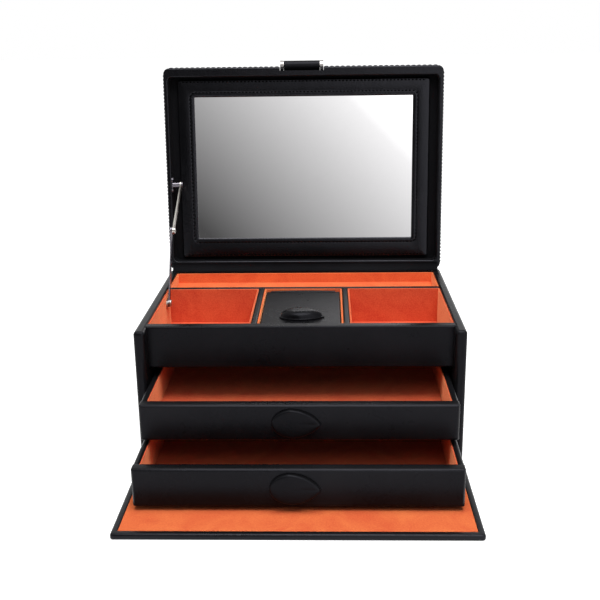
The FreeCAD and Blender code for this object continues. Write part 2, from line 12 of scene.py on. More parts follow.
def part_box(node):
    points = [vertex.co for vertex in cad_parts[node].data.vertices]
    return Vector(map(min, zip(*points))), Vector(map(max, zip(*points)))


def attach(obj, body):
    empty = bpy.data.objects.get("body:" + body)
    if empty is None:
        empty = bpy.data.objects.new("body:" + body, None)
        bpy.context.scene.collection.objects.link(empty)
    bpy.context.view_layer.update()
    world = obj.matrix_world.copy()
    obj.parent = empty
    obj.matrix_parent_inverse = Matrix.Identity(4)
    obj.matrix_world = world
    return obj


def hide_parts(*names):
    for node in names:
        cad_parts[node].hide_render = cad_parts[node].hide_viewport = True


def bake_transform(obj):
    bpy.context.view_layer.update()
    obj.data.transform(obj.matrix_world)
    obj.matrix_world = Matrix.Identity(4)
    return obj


bl_info = {
    "name": "Leather Jewelry Case",
    "version": (1, 0, 0),
    "blender": (4, 5, 0),
    "location": "View3D > Sidebar > Jewelry Case",
    "description": "Dresses a packed jewelry case in leather, suede, chrome and mirror glass",
    "category": "Object",
}

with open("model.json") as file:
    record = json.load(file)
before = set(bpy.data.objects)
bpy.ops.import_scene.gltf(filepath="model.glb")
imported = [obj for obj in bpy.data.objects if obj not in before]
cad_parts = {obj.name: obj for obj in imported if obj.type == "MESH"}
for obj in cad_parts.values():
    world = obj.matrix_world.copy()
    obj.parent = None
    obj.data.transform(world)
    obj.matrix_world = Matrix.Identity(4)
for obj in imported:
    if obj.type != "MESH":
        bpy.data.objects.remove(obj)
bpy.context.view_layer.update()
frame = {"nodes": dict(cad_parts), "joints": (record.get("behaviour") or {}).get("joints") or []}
NODES = frame["nodes"]
WELD = 1e-5
FLAT_ANGLE = math.radians(1.0)
SHARP_ANGLE = math.radians(40.0)
BEVEL_STEPS = 3


def joint(name):
    """The packed record's row for a joint."""
    return next(row for row in frame["joints"] if row["name"] == name)


LID_HINGE = Vector(joint("lid_hinge")["pos_m"])
LID_LEAN = math.radians(-joint("lid_hinge")["range_deg"][0] - 90.0)
LID_PLACE = Matrix.Translation(LID_HINGE) @ Matrix.Rotation(-LID_LEAN, 4, "X")


def length(name, description, default):
    """A setting for a length in metres."""
    return FloatProperty(
        name=name, description=description, default=default, min=0.0, precision=5, unit="LENGTH")


def share(name, description, default):
    """A setting from nothing to all."""
    return FloatProperty(
        name=name, description=description, default=default, min=0.0, max=1.0, subtype="FACTOR")


def colour(name, description, default):
    """A setting for a colour."""
    return FloatVectorProperty(name=name, description=description, default=default, min=0.0, max=1.0,
                               size=3, subtype="COLOR")


def turn(name, description, default):
    """A setting for an angle in radians."""
    return FloatProperty(name=name, description=description, default=default, subtype="ANGLE")


class LeatherSettings(bpy.types.PropertyGroup):
    """Black leather of the boards, the lid and the pulls."""

    dye: colour("Dye", "Colour of the leather", (0.0038, 0.0038, 0.0044))
    rub: colour("Rub", "Colour where the leather is rubbed", (0.0085, 0.0083, 0.0095))
    grain: length("Grain", "Width of one pebble of the grain", 0.0009)
    gloss: share("Roughness", "Roughness of the dressed surface", 0.3)


class EmbossSettings(bpy.types.PropertyGroup):
    """Woven pattern pressed into the lid's outer skin."""

    tile_length: length("Tile Length", "Length of one tile across the lid", 0.005)
    tile_width: length("Tile Width", "Width of one tile along the lid", 0.0033)
    relief: length("Relief", "Height of a tile over the valleys", 0.00045)
    skin: length("Skin", "Thickness of the embossed skin", 0.0004)
    edge: length("Edge Radius", "Rounding of the lid's outer edges", 0.0035)
    corner: length("Corner Radius", "Rounding of the lid's corners", 0.005)


class SuedeSettings(bpy.types.PropertyGroup):
    """Orange suede of the linings."""

    dye: colour("Dye", "Colour of the suede against the nap", (0.68, 0.092, 0.034))
    brushed: colour("Brushed", "Colour of the suede along the nap", (0.88, 0.22, 0.066))
    # Painted shade: the two colours below are a darker, redder copy of the suede for the tray and drawer
    # linings, which lie in shade.
    painted_shade_dye: colour("Painted Shade Dye", "Colour in trays and drawers against the nap", (0.61, 0.066, 0.031))
    painted_shade_brushed: colour("Painted Shade Brushed", "Colour in trays and drawers along the nap", (0.79, 0.158, 0.06))
    edge: length("Edge Radius", "Rounding of a lining's cut edges", 0.0003)


class FrameSettings(bpy.types.PropertyGroup):
    """Padded frame round the mirror and its thread."""

    lap: length("Lap", "How far the frame laps over the glass", 0.002)
    corner: length("Corner Radius", "Rounding of the frame's outer corners", 0.003)
    seam: length("Seam", "Distance of the sewn seam from the mirror", 0.0043)
    low_seam: length("Low Seam", "Distance of the lower seam from the frame's lower edge", 0.0028)
    stitch: length("Stitch", "Length of one stitch", 0.0022)
    pitch: length("Pitch", "Distance from stitch to stitch", 0.0034)
    thread: length("Thread", "Thickness of the thread", 0.0012)


class PullSettings(bpy.types.PropertyGroup):
    """Padded leaf pulls on the drawers and the small case."""

    crease: share("Crease", "Depth of the crease at a pull's tip as a share of its height", 0.1)
    fill: share("Fill", "How tightly the pull is stuffed", 0.9)
    dome: length("Dome", "Rise of the small case's lid", 0.0008)


class MetalSettings(bpy.types.PropertyGroup):
    """Chrome clasp, nickel stay and hinge, and mirror."""

    chrome: colour("Chrome", "Colour of the clasp's chrome", (0.36, 0.34, 0.33))
    nickel: colour("Nickel", "Colour of the stay and the hinge", (0.50, 0.48, 0.44))
    # Painted shade: a darker copy of the nickel colour for the stay's parts on the lid's side, which lie in
    # shade.
    darkened: colour("Darkened Steel", "Colour of the stay's darker steel", (0.16, 0.15, 0.17))
    silvering: colour("Silvering", "Colour of the mirror", (0.92, 0.91, 0.92))
    rivet: length("Rivet", "Radius of a small rivet head", 0.0013)
    screw: length("Screw", "Radius of a hinge screw's head", 0.0019)


class StageSettings(bpy.types.PropertyGroup):
    """Camera, lamps and floor."""

    camera: FloatVectorProperty(
        name="Camera", description="Place of the camera", size=3, subtype="TRANSLATION", unit="LENGTH",
        default=(0.022345, -0.762564, 0.343705))
    pitch: turn("Pitch", "How far the camera looks down", 0.297811)
    yaw: turn("Yaw", "How far the camera looks to the right", -0.032003)
    roll: turn("Roll", "How far the camera is tipped", -0.014122)
    lens: FloatProperty(name="Lens", description="Focal length of the camera in millimetres", default=54.984)
    floor: colour("Floor", "Colour of the floor", (0.93, 0.93, 0.93))
    ambient: share("Ambient", "Light from all round", 0.13)


class Wire:
    """A node's socket that takes part in Python expressions."""

    def __init__(self, graph, socket):
        self.graph = graph
        self.socket = socket

    def math(self, operation, *values):
        return self.graph.node("ShaderNodeMath", {"operation": operation}, dict(enumerate(values)))

    def __add__(self, other):
        return self.math("ADD", self, other)

    def __sub__(self, other):
        return self.math("SUBTRACT", self, other)

    def __rsub__(self, other):
        return self.math("SUBTRACT", other, self)

    def __mul__(self, other):
        return self.math("MULTIPLY", self, other)

    def __pow__(self, other):
        return self.math("POWER", self, other)

    __radd__ = __add__
    __rmul__ = __mul__


class Graph:
    """A node tree that is written as expressions."""

    def __init__(self, tree):
        self.tree = tree
        tree.nodes.clear()

    def node(self, kind, settings=None, sockets=None, out=0):
        """Add a node and return one of its outputs."""
        made = self.tree.nodes.new(kind)
        for name, value in (settings or {}).items():
            if name == "stops":
                self.stops(made.color_ramp, value)
            else:
                setattr(made, name, value)
        for name, value in (sockets or {}).items():
            if isinstance(value, Wire):
                self.tree.links.new(value.socket, made.inputs[name])
            else:
                made.inputs[name].default_value = value
        shown = [socket for socket in made.outputs if socket.enabled]
        if not shown:
            return None
        found = shown[out] if isinstance(out, int) else next(socket for socket in shown if socket.name == out)
        return Wire(self, found)

    @staticmethod
    def stops(ramp, values):
        """Set a ramp's stops from pairs of place and grey."""
        while len(ramp.elements) < len(values):
            ramp.elements.new(1.0)
        for element, (place, grey) in zip(ramp.elements, values):
            element.position = place
            element.color = (grey, grey, grey, 1.0)

    def mix(self, factor, first, second):
        """Blend two colours."""
        sockets = {0: factor, 6: solid(first), 7: solid(second)}
        return self.node("ShaderNodeMix", {"data_type": "RGBA"}, sockets)

    def noise(self, place, scale, detail=3.0, roughness=0.55, distortion=0.0):
        """Smooth mottling from nought to one."""
        sockets = {"Vector": place, "Scale": scale, "Detail": detail, "Roughness": roughness,
                   "Distortion": distortion}
        return self.node("ShaderNodeTexNoise", {}, sockets)

    def bump(self, height, strength, distance):
        """A normal that follows a height."""
        return self.node("ShaderNodeBump", {}, {"Height": height, "Strength": strength, "Distance": distance})

    def ramp(self, factor, *values):
        """A value that passes through the given stops."""
        return self.node("ShaderNodeValToRGB", {"stops": values}, {"Fac": factor})

    def attribute(self, name, kind):
        """A named attribute of the geometry."""
        return self.node(
            "GeometryNodeInputNamedAttribute", {"data_type": kind}, {"Name": name}, out="Attribute")


def solid(value):
    """A colour with full alpha, or the link as it is."""
    return value if isinstance(value, Wire) else (*value, 1.0)


def material(name):
    """A new material, its graph and its object coordinates."""
    made = bpy.data.materials.new(name)
    made.use_nodes = True
    graph = Graph(made.node_tree)
    return made, graph, graph.node("ShaderNodeTexCoord", out="Object")


def shade(graph, sockets):
    """End a graph in one surface."""
    surface = graph.node("ShaderNodeBsdfPrincipled", {}, sockets)
    graph.node("ShaderNodeOutputMaterial", {}, {"Surface": surface})


def leather(name, grain_height, wrinkle, roughness, shine, depth):
    """Black leather: pebbled grain, soft wrinkles and rubbed patches."""
    settings = bpy.context.scene.case_leather
    gloss = settings.gloss + roughness
    made, graph, place = material(name)
    pebbles = graph.node("ShaderNodeTexVoronoi", {"feature": "SMOOTH_F1"}, {
        "Vector": place, "Scale": 1.0 / settings.grain, "Smoothness": 0.35}, out="Distance")
    wrinkles = graph.noise(place, scale=120.0, detail=6.0, roughness=0.62, distortion=0.6)
    rub = graph.noise(place, scale=11.0, detail=4.0)
    height = (1.0 - pebbles) * grain_height + wrinkles * wrinkle
    dyes = [[value * depth for value in tone] for tone in (settings.dye, settings.rub)]
    shade(graph, {
        "Base Color": graph.mix(graph.ramp(rub, (0.42, 0.0), (0.72, 1.0)), *dyes),
        "Roughness": gloss + (rub - 0.5) * 0.16 + (wrinkles - 0.5) * 0.12,
        "Specular IOR Level": shine,
        "Specular Tint": (0.86, 0.86, 1.0, 1.0),
        "Normal": graph.bump(height, strength=0.5, distance=0.0004),
    })
    return made


def suede(name, dye, brushed):
    """Suede: short nap brushed in soft patches, with a velvet sheen."""
    made, graph, place = material(name)
    strokes = graph.noise(place, scale=26.0, detail=5.0, roughness=0.6, distortion=1.6)
    fibres = graph.noise(place, scale=900.0, detail=2.0, roughness=0.7)
    nap = graph.ramp(strokes * 0.5 + fibres * 0.5, (0.32, 0.0), (0.68, 1.0))
    shade(graph, {
        "Base Color": graph.mix(nap, dye, brushed),
        "Roughness": 0.96 - nap * 0.08,
        "Specular IOR Level": 0.12,
        "Sheen Weight": 0.8,
        "Sheen Roughness": 0.4,
        "Sheen Tint": (1.0, 0.44, 0.2, 1.0),
        "Normal": graph.bump(fibres + strokes * 0.4, strength=0.5, distance=0.0005),
    })
    return made


def felt(name, dye, worn, sheen):
    """Black felt or cloth: matted fibres."""
    made, graph, place = material(name)
    fibres = graph.noise(place, scale=700.0, detail=4.0, roughness=0.75, distortion=0.8)
    shade(graph, {
        "Base Color": graph.mix(fibres, dye, worn),
        "Roughness": 0.98 - fibres * 0.06,
        "Specular IOR Level": 0.05,
        "Sheen Weight": sheen,
        "Normal": graph.bump(fibres, strength=0.6, distance=0.0006),
    })
    return made


def polished(name, tint, gloss, haze):
    """Polished metal or silvered glass with faint wiping marks."""
    made, graph, place = material(name)
    wipes = graph.noise(place, scale=60.0, detail=5.0, roughness=0.6, distortion=1.0)
    shade(graph, {
        "Base Color": graph.mix(wipes, [value * 0.97 for value in tint], tint),
        "Metallic": 1.0,
        "Roughness": gloss + wipes * haze,
    })
    return made


def brushed_metal(name, tint):
    """Nickel-plated steel with a fine drawn grain."""
    made, graph, place = material(name)
    along = graph.node("ShaderNodeMapping", {}, {"Vector": place, "Scale": (900.0, 120.0, 120.0)})
    drawn = graph.node("ShaderNodeTexNoise", {}, {"Vector": along, "Scale": 1.0, "Detail": 3.0})
    tarnish = graph.noise(place, scale=90.0, detail=4.0)
    shade(graph, {
        "Base Color": graph.mix(tarnish, tint, [value * 0.8 for value in tint]),
        "Metallic": 1.0,
        "Roughness": 0.18 + tarnish * 0.16 + drawn * 0.06,
        "Normal": graph.bump(drawn, strength=0.12, distance=0.0001),
    })
    return made


def thread(name):
    """Waxed black thread with a slight twist."""
    made, graph, place = material(name)
    twist = graph.noise(place, scale=1500.0, detail=2.0)
    shade(graph, {
        "Base Color": graph.mix(twist, (0.0006, 0.0006, 0.0006), (0.002, 0.002, 0.002)),
        "Roughness": 0.8 + twist * 0.1,
        "Specular IOR Level": 0.02,
        "Normal": graph.bump(twist, strength=0.4, distance=0.0002),
    })
    return made


FINISHES = {}

# For each leather: material, grain, wrinkles, roughness beyond the setting, shine and depth of its dye.
LEATHERS = {
    "leather": ("smooth_leather", 0.25, 0.3, 0.0, 0.08, 1.0),
    "embossed_leather": ("embossed_leather", 0.35, 0.3, -0.04, 0.26, 1.0),
    "padded_leather": ("padded_leather", 0.45, 0.7, -0.14, 0.18, 0.45),
    "flap_leather": ("flap_leather", 0.45, 0.45, 0.0, 0.15, 1.0),
    "matt_leather": ("matt_leather", 0.25, 0.3, 0.3, 0.02, 1.0),
    "front_leather": ("front_leather", 0.15, 0.2, -0.02, 0.1, 1.0),
}


def make_finishes():
    """Make each finish once."""
    metal = bpy.context.scene.case_metal
    cloth = bpy.context.scene.case_suede
    FINISHES.update({finish: leather(*row) for finish, row in LEATHERS.items()})
    FINISHES.update({
        # Painted shade: a near-black matt sheet for the trough round the mirror frame, where the lid's
        # channel lies in shade.
        "trough_shade_sheet": felt("trough_shade_sheet", (0.0034, 0.0034, 0.0042), (0.0085, 0.0085, 0.01), sheen=0.0),
        "suede": suede("lining_suede", cloth.dye, cloth.brushed),
        # Painted shade: a darker, redder copy of the lining suede for the trays and drawers, which lie in
        # shade.
        "painted_shade_suede": suede("painted_shade_suede", cloth.painted_shade_dye, cloth.painted_shade_brushed),
        "felt": felt("base_felt", (0.008, 0.008, 0.009), (0.03, 0.03, 0.032), sheen=0.3),
        "mirror": polished("silvered_mirror", metal.silvering, gloss=0.012, haze=0.02),
        "chrome": polished("clasp_chrome", metal.chrome, gloss=0.05, haze=0.06),
        "steel": brushed_metal("nickel_steel", metal.nickel),
        # Painted shade: the same brushed nickel in a darker colour, for stay parts that lie in shade.
        "dark_steel": brushed_metal("painted_shade_nickel_steel", metal.darkened),
        "thread": thread("waxed_thread"),
    })


def plain_mesh(name, verts, edges, faces, finish=None):
    """A mesh from points, edges and faces, with or without a finish."""
    mesh = bpy.data.meshes.new(name)
    mesh.from_pydata([tuple(vert) for vert in verts], edges, faces)
    if finish:
        mesh.materials.append(FINISHES[finish])
    return mesh


def placed(name, data):
    """A new object in the scene."""
    obj = bpy.data.objects.new(name, data)
    bpy.context.scene.collection.objects.link(obj)
    return obj


def store(mesh, name, kind, values):
    """Write a value for each point into a new attribute."""
    key = "vector" if kind == "FLOAT_VECTOR" else "value"
    mesh.attributes.new(name, kind, "POINT").data.foreach_set(key, values)


def new_piece(name, verts, faces, finish, smooth=True):
    """A mesh object in the part's frame with one finish."""
    mesh = plain_mesh(name, verts, [], faces, finish)
    outward(mesh)
    if smooth:
        mesh.shade_smooth()
    else:
        mesh.shade_flat()
    return placed(name, mesh)


def outward(mesh):
    """Merge doubles and point the faces of a closed mesh outwards."""
    work = bmesh.new()
    work.from_mesh(mesh)
    bmesh.ops.remove_doubles(work, verts=work.verts, dist=WELD)
    bmesh.ops.recalc_face_normals(work, faces=work.faces)
    work.to_mesh(mesh)
    work.free()


def evaluated(obj):
    """Turn an object's modifiers into its plain mesh."""
    graph = bpy.context.evaluated_depsgraph_get()
    mesh = bpy.data.meshes.new_from_object(obj.evaluated_get(graph))
    obj.modifiers.clear()
    obj.data = mesh
    return obj


def worn_by(obj, body, slot, *nodes):
    """Let a finished piece ride on a body and stand for CAD nodes."""
    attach(obj, body)
    if nodes:
        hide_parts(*nodes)
    return obj


def bends(obj, bodies, start, end, *nodes):
    """Let a strip of leather bend from one body to another and stand for CAD nodes."""
    if nodes:
        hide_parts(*nodes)
    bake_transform(obj)


def ring_faces(rings, count, close=False):
    """Faces between rings of points that each run once round."""
    pairs = [(row, row + 1) for row in range(rings - 1)]
    if close:
        pairs.append((rings - 1, 0))
    return [(low * count + i, low * count + (i + 1) % count, high * count + (i + 1) % count, high * count + i)
            for low, high in pairs for i in range(count)]


def lid_box(node):
    """A node's lowest and highest corners in the lid's own frame."""
    back = LID_PLACE.inverted()
    points = [back @ vert.co for vert in NODES[node].data.vertices]
    return [Vector([pick(point[axis] for point in points) for axis in range(3)]) for pick in (min, max)]


def nodes_tree(name, lengths):
    """A geometry tree that takes lengths and a finish, its graph and its inputs."""
    tree = bpy.data.node_groups.new(name, "GeometryNodeTree")
    tree.is_modifier = True
    graph = Graph(tree)
    tree.interface.new_socket("Geometry", in_out="OUTPUT", socket_type="NodeSocketGeometry")
    kinds = {"Geometry": "NodeSocketGeometry"}
    kinds.update(dict.fromkeys(lengths, "NodeSocketFloat"))
    kinds["Finish"] = "NodeSocketMaterial"
    for title, kind in kinds.items():
        tree.interface.new_socket(title, in_out="INPUT", socket_type=kind)
    entry = graph.node("NodeGroupInput").socket.node
    return tree, graph, {title: Wire(graph, entry.outputs[title]) for title in kinds}


def close_tree(graph, shape, finish):
    """End a geometry tree in real faces with a material."""
    real = graph.node("GeometryNodeRealizeInstances", {}, {"Geometry": shape})
    done = graph.node("GeometryNodeSetMaterial", {}, {"Geometry": real, "Material": finish})
    graph.node("NodeGroupOutput", {}, {"Geometry": done})


def add_tree(obj, tree, values):
    """Put a geometry tree on an object and set its named inputs."""
    modifier = obj.modifiers.new(tree.name, "NODES")
    modifier.node_group = tree
    for item in tree.interface.items_tree:
        if item.in_out == "INPUT" and item.name in values:
            modifier[item.identifier] = values[item.name]


STITCH_BALL = {"Segments": 8, "Rings": 5, "Radius": 0.5}
RIVET_BALL = {"Segments": 16, "Rings": 8, "Radius": 1.0}


def weave_tree():
    """Raise the woven tiles of the embossed skin from its columns and rows."""
    tree, graph, given = nodes_tree("woven_relief", ("Relief",))
    column, row = (graph.attribute(name, "FLOAT") for name in ("column", "row"))
    lift = graph.attribute("lift", "FLOAT_VECTOR")
    arches, walls = [], []
    for cells in (column, row):
        part = cells.math("FRACT", cells)
        arches.append(part.math("SINE", part * math.pi))
        walls.append(1.0 - (part * 2.0 - 1.0).math("ABSOLUTE", part * 2.0 - 1.0) ** 4.0)
    index = column.math("FLOOR", column) + row.math("FLOOR", row)
    over = index.math("FLOORED_MODULO", index, 2.0)
    height = over * arches[0] * walls[1] + (1.0 - over) * arches[1] * walls[0]
    scaled = {0: lift, "Scale": height * given["Relief"]}
    offset = graph.node("ShaderNodeVectorMath", {"operation": "SCALE"}, scaled)
    raised = graph.node("GeometryNodeSetPosition", {}, {"Geometry": given["Geometry"], "Offset": offset})
    close_tree(graph, raised, given["Finish"])
    return tree


def set_beads(graph, given, points, ball, scale, axis, way):
    """End a tree in a scaled ball on each point, turned so that one axis follows its way."""
    bead = graph.node("GeometryNodeMeshUVSphere", {}, ball)
    size = graph.node("ShaderNodeCombineXYZ", {}, {name: given[title] for name, title in zip("XYZ", scale)})
    shaped = graph.node("GeometryNodeTransform", {}, {"Geometry": bead, "Scale": size})
    turned = graph.node("FunctionNodeAlignRotationToVector", {"axis": axis}, {"Vector": way})
    beads = graph.node("GeometryNodeInstanceOnPoints", {}, {
        "Points": points, "Instance": shaped, "Rotation": turned})
    close_tree(graph, beads, given["Finish"])


def stitch_tree():
    """Lay stitches along a path."""
    tree, graph, given = nodes_tree("stitch_row", ("Stitch", "Pitch", "Thread"))
    path = graph.node("GeometryNodeMeshToCurve", {}, {"Mesh": given["Geometry"]})
    spaced = graph.node("GeometryNodeResampleCurve", {"mode": "LENGTH"}, {
        "Curve": path, "Length": given["Pitch"]})
    tangent = graph.node("GeometryNodeInputTangent")
    set_beads(graph, given, spaced, STITCH_BALL, ("Stitch", "Thread", "Thread"), "X", tangent)
    return tree


def rivet_tree():
    """Set a domed rivet head on each point, facing its own way."""
    tree, graph, given = nodes_tree("rivet_heads", ("Radius", "Height"))
    facing = graph.attribute("facing", "FLOAT_VECTOR")
    set_beads(graph, given, given["Geometry"], RIVET_BALL, ("Radius", "Radius", "Height"), "Z", facing)
    return tree


class JEWELRY_OT_finishes(bpy.types.Operator):
    """Make the finishes and put them on the boards, metal and glass that keep their CAD shape"""

    bl_idname = "jewelry_case.finishes"
    bl_label = "Finish Boards and Metal"

    # Painted shade: the stay's lower link and lid bracket take the darker nickel copy because they lie in
    # shade.
    OWN_FINISH = {"stay_lower_link": "dark_steel", "stay_bracket_lid": "dark_steel",
                  "lid_shell": "padded_leather"}

    def execute(self, context):
        make_finishes()
        for name, obj in NODES.items():
            slot = obj.data.materials[0].name.split(".")[0] if obj.data.materials else "leather"
            if slot not in FINISHES:
                raise RuntimeError(f"{name} has no finish named {slot}")
            obj.data.materials.clear()
            obj.data.materials.append(FINISHES[self.OWN_FINISH.get(name, slot)])
        return {"FINISHED"}


class JEWELRY_OT_linings(bpy.types.Operator):
    """Line the tray, the drawers, the flap and the small case with suede and the base with felt"""

    bl_idname = "jewelry_case.linings"
    bl_label = "Line with Suede and Felt"

    LININGS = {
        "case": ("slot_lining", "tray_lining_left", "tray_lining_right", "well_lining"),
        "upper_drawer": ("upper_drawer_lining",),
        "lower_drawer": ("lower_drawer_lining",),
        "flap": ("flap_lining",),
        "small_case": ("small_case_lining",),
    }
    # Painted shade: these linings take the darker suede copy because they lie in shade.
    DEEP = ("tray_lining_left", "tray_lining_right", "upper_drawer_lining", "lower_drawer_lining")

    def execute(self, context):
        edge = context.scene.case_suede.edge
        for body, nodes in self.LININGS.items():
            for node in nodes:
                finish = "painted_shade_suede" if node in self.DEEP else "suede"
                worn_by(softened("soft_" + node, node, edge, finish), body, "suede", node)
        worn_by(softened("soft_base_cover", "base_cover", edge, "felt"), "case", "felt", "base_cover")
        return {"FINISHED"}


def softened(name, node, radius, finish):
    """A copy of a CAD node with its sharp edges rounded."""
    work = bmesh.new()
    work.from_mesh(NODES[node].data)
    bmesh.ops.remove_doubles(work, verts=work.verts, dist=WELD)
    bmesh.ops.dissolve_limit(work, angle_limit=FLAT_ANGLE, verts=work.verts, edges=work.edges)
    sharp = [edge for edge in work.edges
             if len(edge.link_faces) == 2 and edge.calc_face_angle() > SHARP_ANGLE]
    bmesh.ops.bevel(work, geom=sharp, offset=radius, segments=BEVEL_STEPS, profile=0.5, affect="EDGES",
                    clamp_overlap=True)
    bmesh.ops.triangulate(work, faces=work.faces)
    mesh = bpy.data.meshes.new(name)
    work.to_mesh(mesh)
    work.free()
    mesh.materials.append(FINISHES[finish])
    mesh.shade_smooth()
    obj = placed(name, mesh)
    even = obj.modifiers.new("even_normals", "WEIGHTED_NORMAL")
    even.keep_sharp = True
    return evaluated(obj)


class JEWELRY_OT_lid_skin(bpy.types.Operator):
    """Wrap the lid's outside in embossed leather"""

    bl_idname = "jewelry_case.lid_skin"
    bl_label = "Wrap Embossed Lid"

    STEPS_LONG = 4
    STEPS_WIDE = 3
    LIFT = 0.00008
    EDGE_RELIEF = 2.3
    CORNER_RELIEF = 0.8
    CORNER_TILES = 3
    RIM = 0.0016
    GAP = 0.0003
    PROBE = 0.01

    def execute(self, context):
        settings = self.settings = context.scene.case_emboss
        self.half, self.thick, self.long = lid_box("lid_shell")[1]
        self.verts, self.faces = [], []
        self.columns, self.rows, self.lifts = [], [], []
        self.back_face()
        inset = settings.corner
        for side in (-1, 1):
            self.side_band(side, inset, self.long - inset)
        lugs_low, lugs_high = lid_box("clasp_lugs")
        self.end_band(1, -self.half + inset, lugs_low.x - self.GAP, self.RIM)
        self.end_band(1, lugs_high.x + self.GAP, self.half - inset, self.RIM)
        leaf = lid_box("hinge_leaf_lid")[1].y + self.GAP
        self.end_band(-1, -self.half + inset, self.half - inset, leaf)
        for side in (-1, 1):
            self.corner(side, 1, self.RIM)
            self.corner(side, -1, leaf)
        name = "embossed_lid_skin"
        mesh = plain_mesh(name, [LID_PLACE @ vert for vert in self.verts], [], self.faces, "embossed_leather")
        store(mesh, "column", "FLOAT", self.columns)
        store(mesh, "row", "FLOAT", self.rows)
        turned = LID_PLACE.to_3x3()
        store(mesh, "lift", "FLOAT_VECTOR", [value for lift in self.lifts for value in turned @ lift])
        mesh.shade_smooth()
        obj = placed(name, mesh)
        add_tree(obj, weave_tree(), {"Relief": settings.relief, "Finish": FINISHES["embossed_leather"]})
        thick = obj.modifiers.new("skin", "SOLIDIFY")
        thick.thickness = settings.skin
        thick.offset = -1.0
        evaluated(obj)
        worn_by(obj, "lid", "embossed_leather")
        return {"FINISHED"}

    def patch(self, across, along, long_is_u, place, relief=1.0):
        """A grid of tiles; place gives a point and its outward direction from two shares."""
        steps_u = across * (self.STEPS_LONG if long_is_u else self.STEPS_WIDE)
        steps_v = along * (self.STEPS_WIDE if long_is_u else self.STEPS_LONG)
        first = len(self.verts)
        for i in range(steps_u + 1):
            for k in range(steps_v + 1):
                point, lift = place(i / steps_u, k / steps_v)
                self.verts.append(point + lift * self.LIFT)
                self.lifts.append(lift * relief)
                u, v = across * i / steps_u, along * k / steps_v
                self.columns.append(u if long_is_u else v)
                self.rows.append(v if long_is_u else u)
        middle, outwards = place(0.5, 0.5)
        along_u = place(0.5 + self.PROBE, 0.5)[0] - middle
        along_v = place(0.5, 0.5 + self.PROBE)[0] - middle
        ahead = along_u.cross(along_v).dot(outwards) > 0
        for i in range(steps_u):
            for k in range(steps_v):
                corner = first + i * (steps_v + 1) + k
                face = (corner, corner + steps_v + 1, corner + steps_v + 2, corner + 1)
                self.faces.append(face if ahead else face[::-1])

    def tiles(self, span, size):
        return max(1, round(span / size))

    def back_face(self):
        edge, half, top = self.settings.edge, self.half - self.settings.edge, self.long - self.settings.edge

        def place(u, v):
            return Vector((-half + 2 * half * u, self.thick, edge + (top - edge) * v)), Vector((0, 1, 0))

        across = self.tiles(2 * half, self.settings.tile_length)
        along = self.tiles(top - edge, self.settings.tile_width)
        self.patch(across, along, True, place)

    def profile(self, part, stop):
        """Outward reach, thickness and direction along the rounded edge and down the side."""
        edge = self.settings.edge
        bend = edge * math.pi / 2
        run = part * self.depth(stop)
        if run < bend:
            angle = run / edge
            return (edge * math.sin(angle), self.thick - edge + edge * math.cos(angle),
                    math.sin(angle), math.cos(angle))
        return edge, self.thick - edge - (run - bend), 1.0, 0.0

    def depth(self, stop):
        return self.settings.edge * math.pi / 2 + self.thick - self.settings.edge - stop

    def side_band(self, side, start, end):
        base = self.half - self.settings.edge

        def place(u, v):
            reach, level, out, up = self.profile(v, self.RIM)
            point = Vector((side * (base + reach), level, start + (end - start) * u))
            return point, Vector((side * out, up, 0))

        across = self.tiles(end - start, self.settings.tile_width)
        along = self.tiles(self.depth(self.RIM), self.settings.tile_length)
        self.patch(across, along, False, place, self.EDGE_RELIEF)

    def end_band(self, end, start_x, end_x, stop):
        base = self.long - self.settings.edge if end > 0 else self.settings.edge

        def place(u, v):
            reach, level, out, up = self.profile(v, stop)
            point = Vector((start_x + (end_x - start_x) * u, level, base + end * reach))
            return point, Vector((0, up, end * out))

        across = self.tiles(end_x - start_x, self.settings.tile_length)
        along = self.tiles(self.depth(stop), self.settings.tile_width)
        self.patch(across, along, True, place, self.EDGE_RELIEF if end > 0 else 1.0)

    def corner(self, side, end, stop):
        inset, edge = self.settings.corner, self.settings.edge
        centre = Vector((side * (self.half - inset), 0, self.long - inset if end > 0 else inset))

        def place(u, v):
            reach, level, out, up = self.profile(v, stop)
            angle = u * math.pi / 2
            way = Vector((side * math.cos(angle), 0, end * math.sin(angle)))
            point = centre + way * (inset - edge + reach) + Vector((0, level, 0))
            return point, way * out + Vector((0, up, 0))

        along = self.tiles(self.depth(stop), self.settings.tile_length)
        self.patch(self.CORNER_TILES, along, False, place, self.CORNER_RELIEF)


def rounded_ring(x0, x1, s0, s1, radius, corner_steps, edge_steps):
    """Points round a rectangle with rounded corners, the same number for any size."""
    centres = [(x1 - radius, s1 - radius), (x0 + radius, s1 - radius), (x0 + radius, s0 + radius),
               (x1 - radius, s0 + radius)]
    points = []
    for quarter, (cx, cs) in enumerate(centres):
        arc = [math.pi / 2 * (quarter + step / corner_steps) for step in range(corner_steps + 1)]
        points += [(cx + radius * math.cos(angle), cs + radius * math.sin(angle)) for angle in arc]
        nx, ns = centres[(quarter + 1) % 4]
        turn_by = math.pi / 2 * (quarter + 1)
        nxt = (nx + radius * math.cos(turn_by), ns + radius * math.sin(turn_by))
        last = points[-1]
        count = edge_steps[quarter % 2]
        points += [(last[0] + (nxt[0] - last[0]) * k / count, last[1] + (nxt[1] - last[1]) * k / count)
                   for k in range(1, count)]
    return points


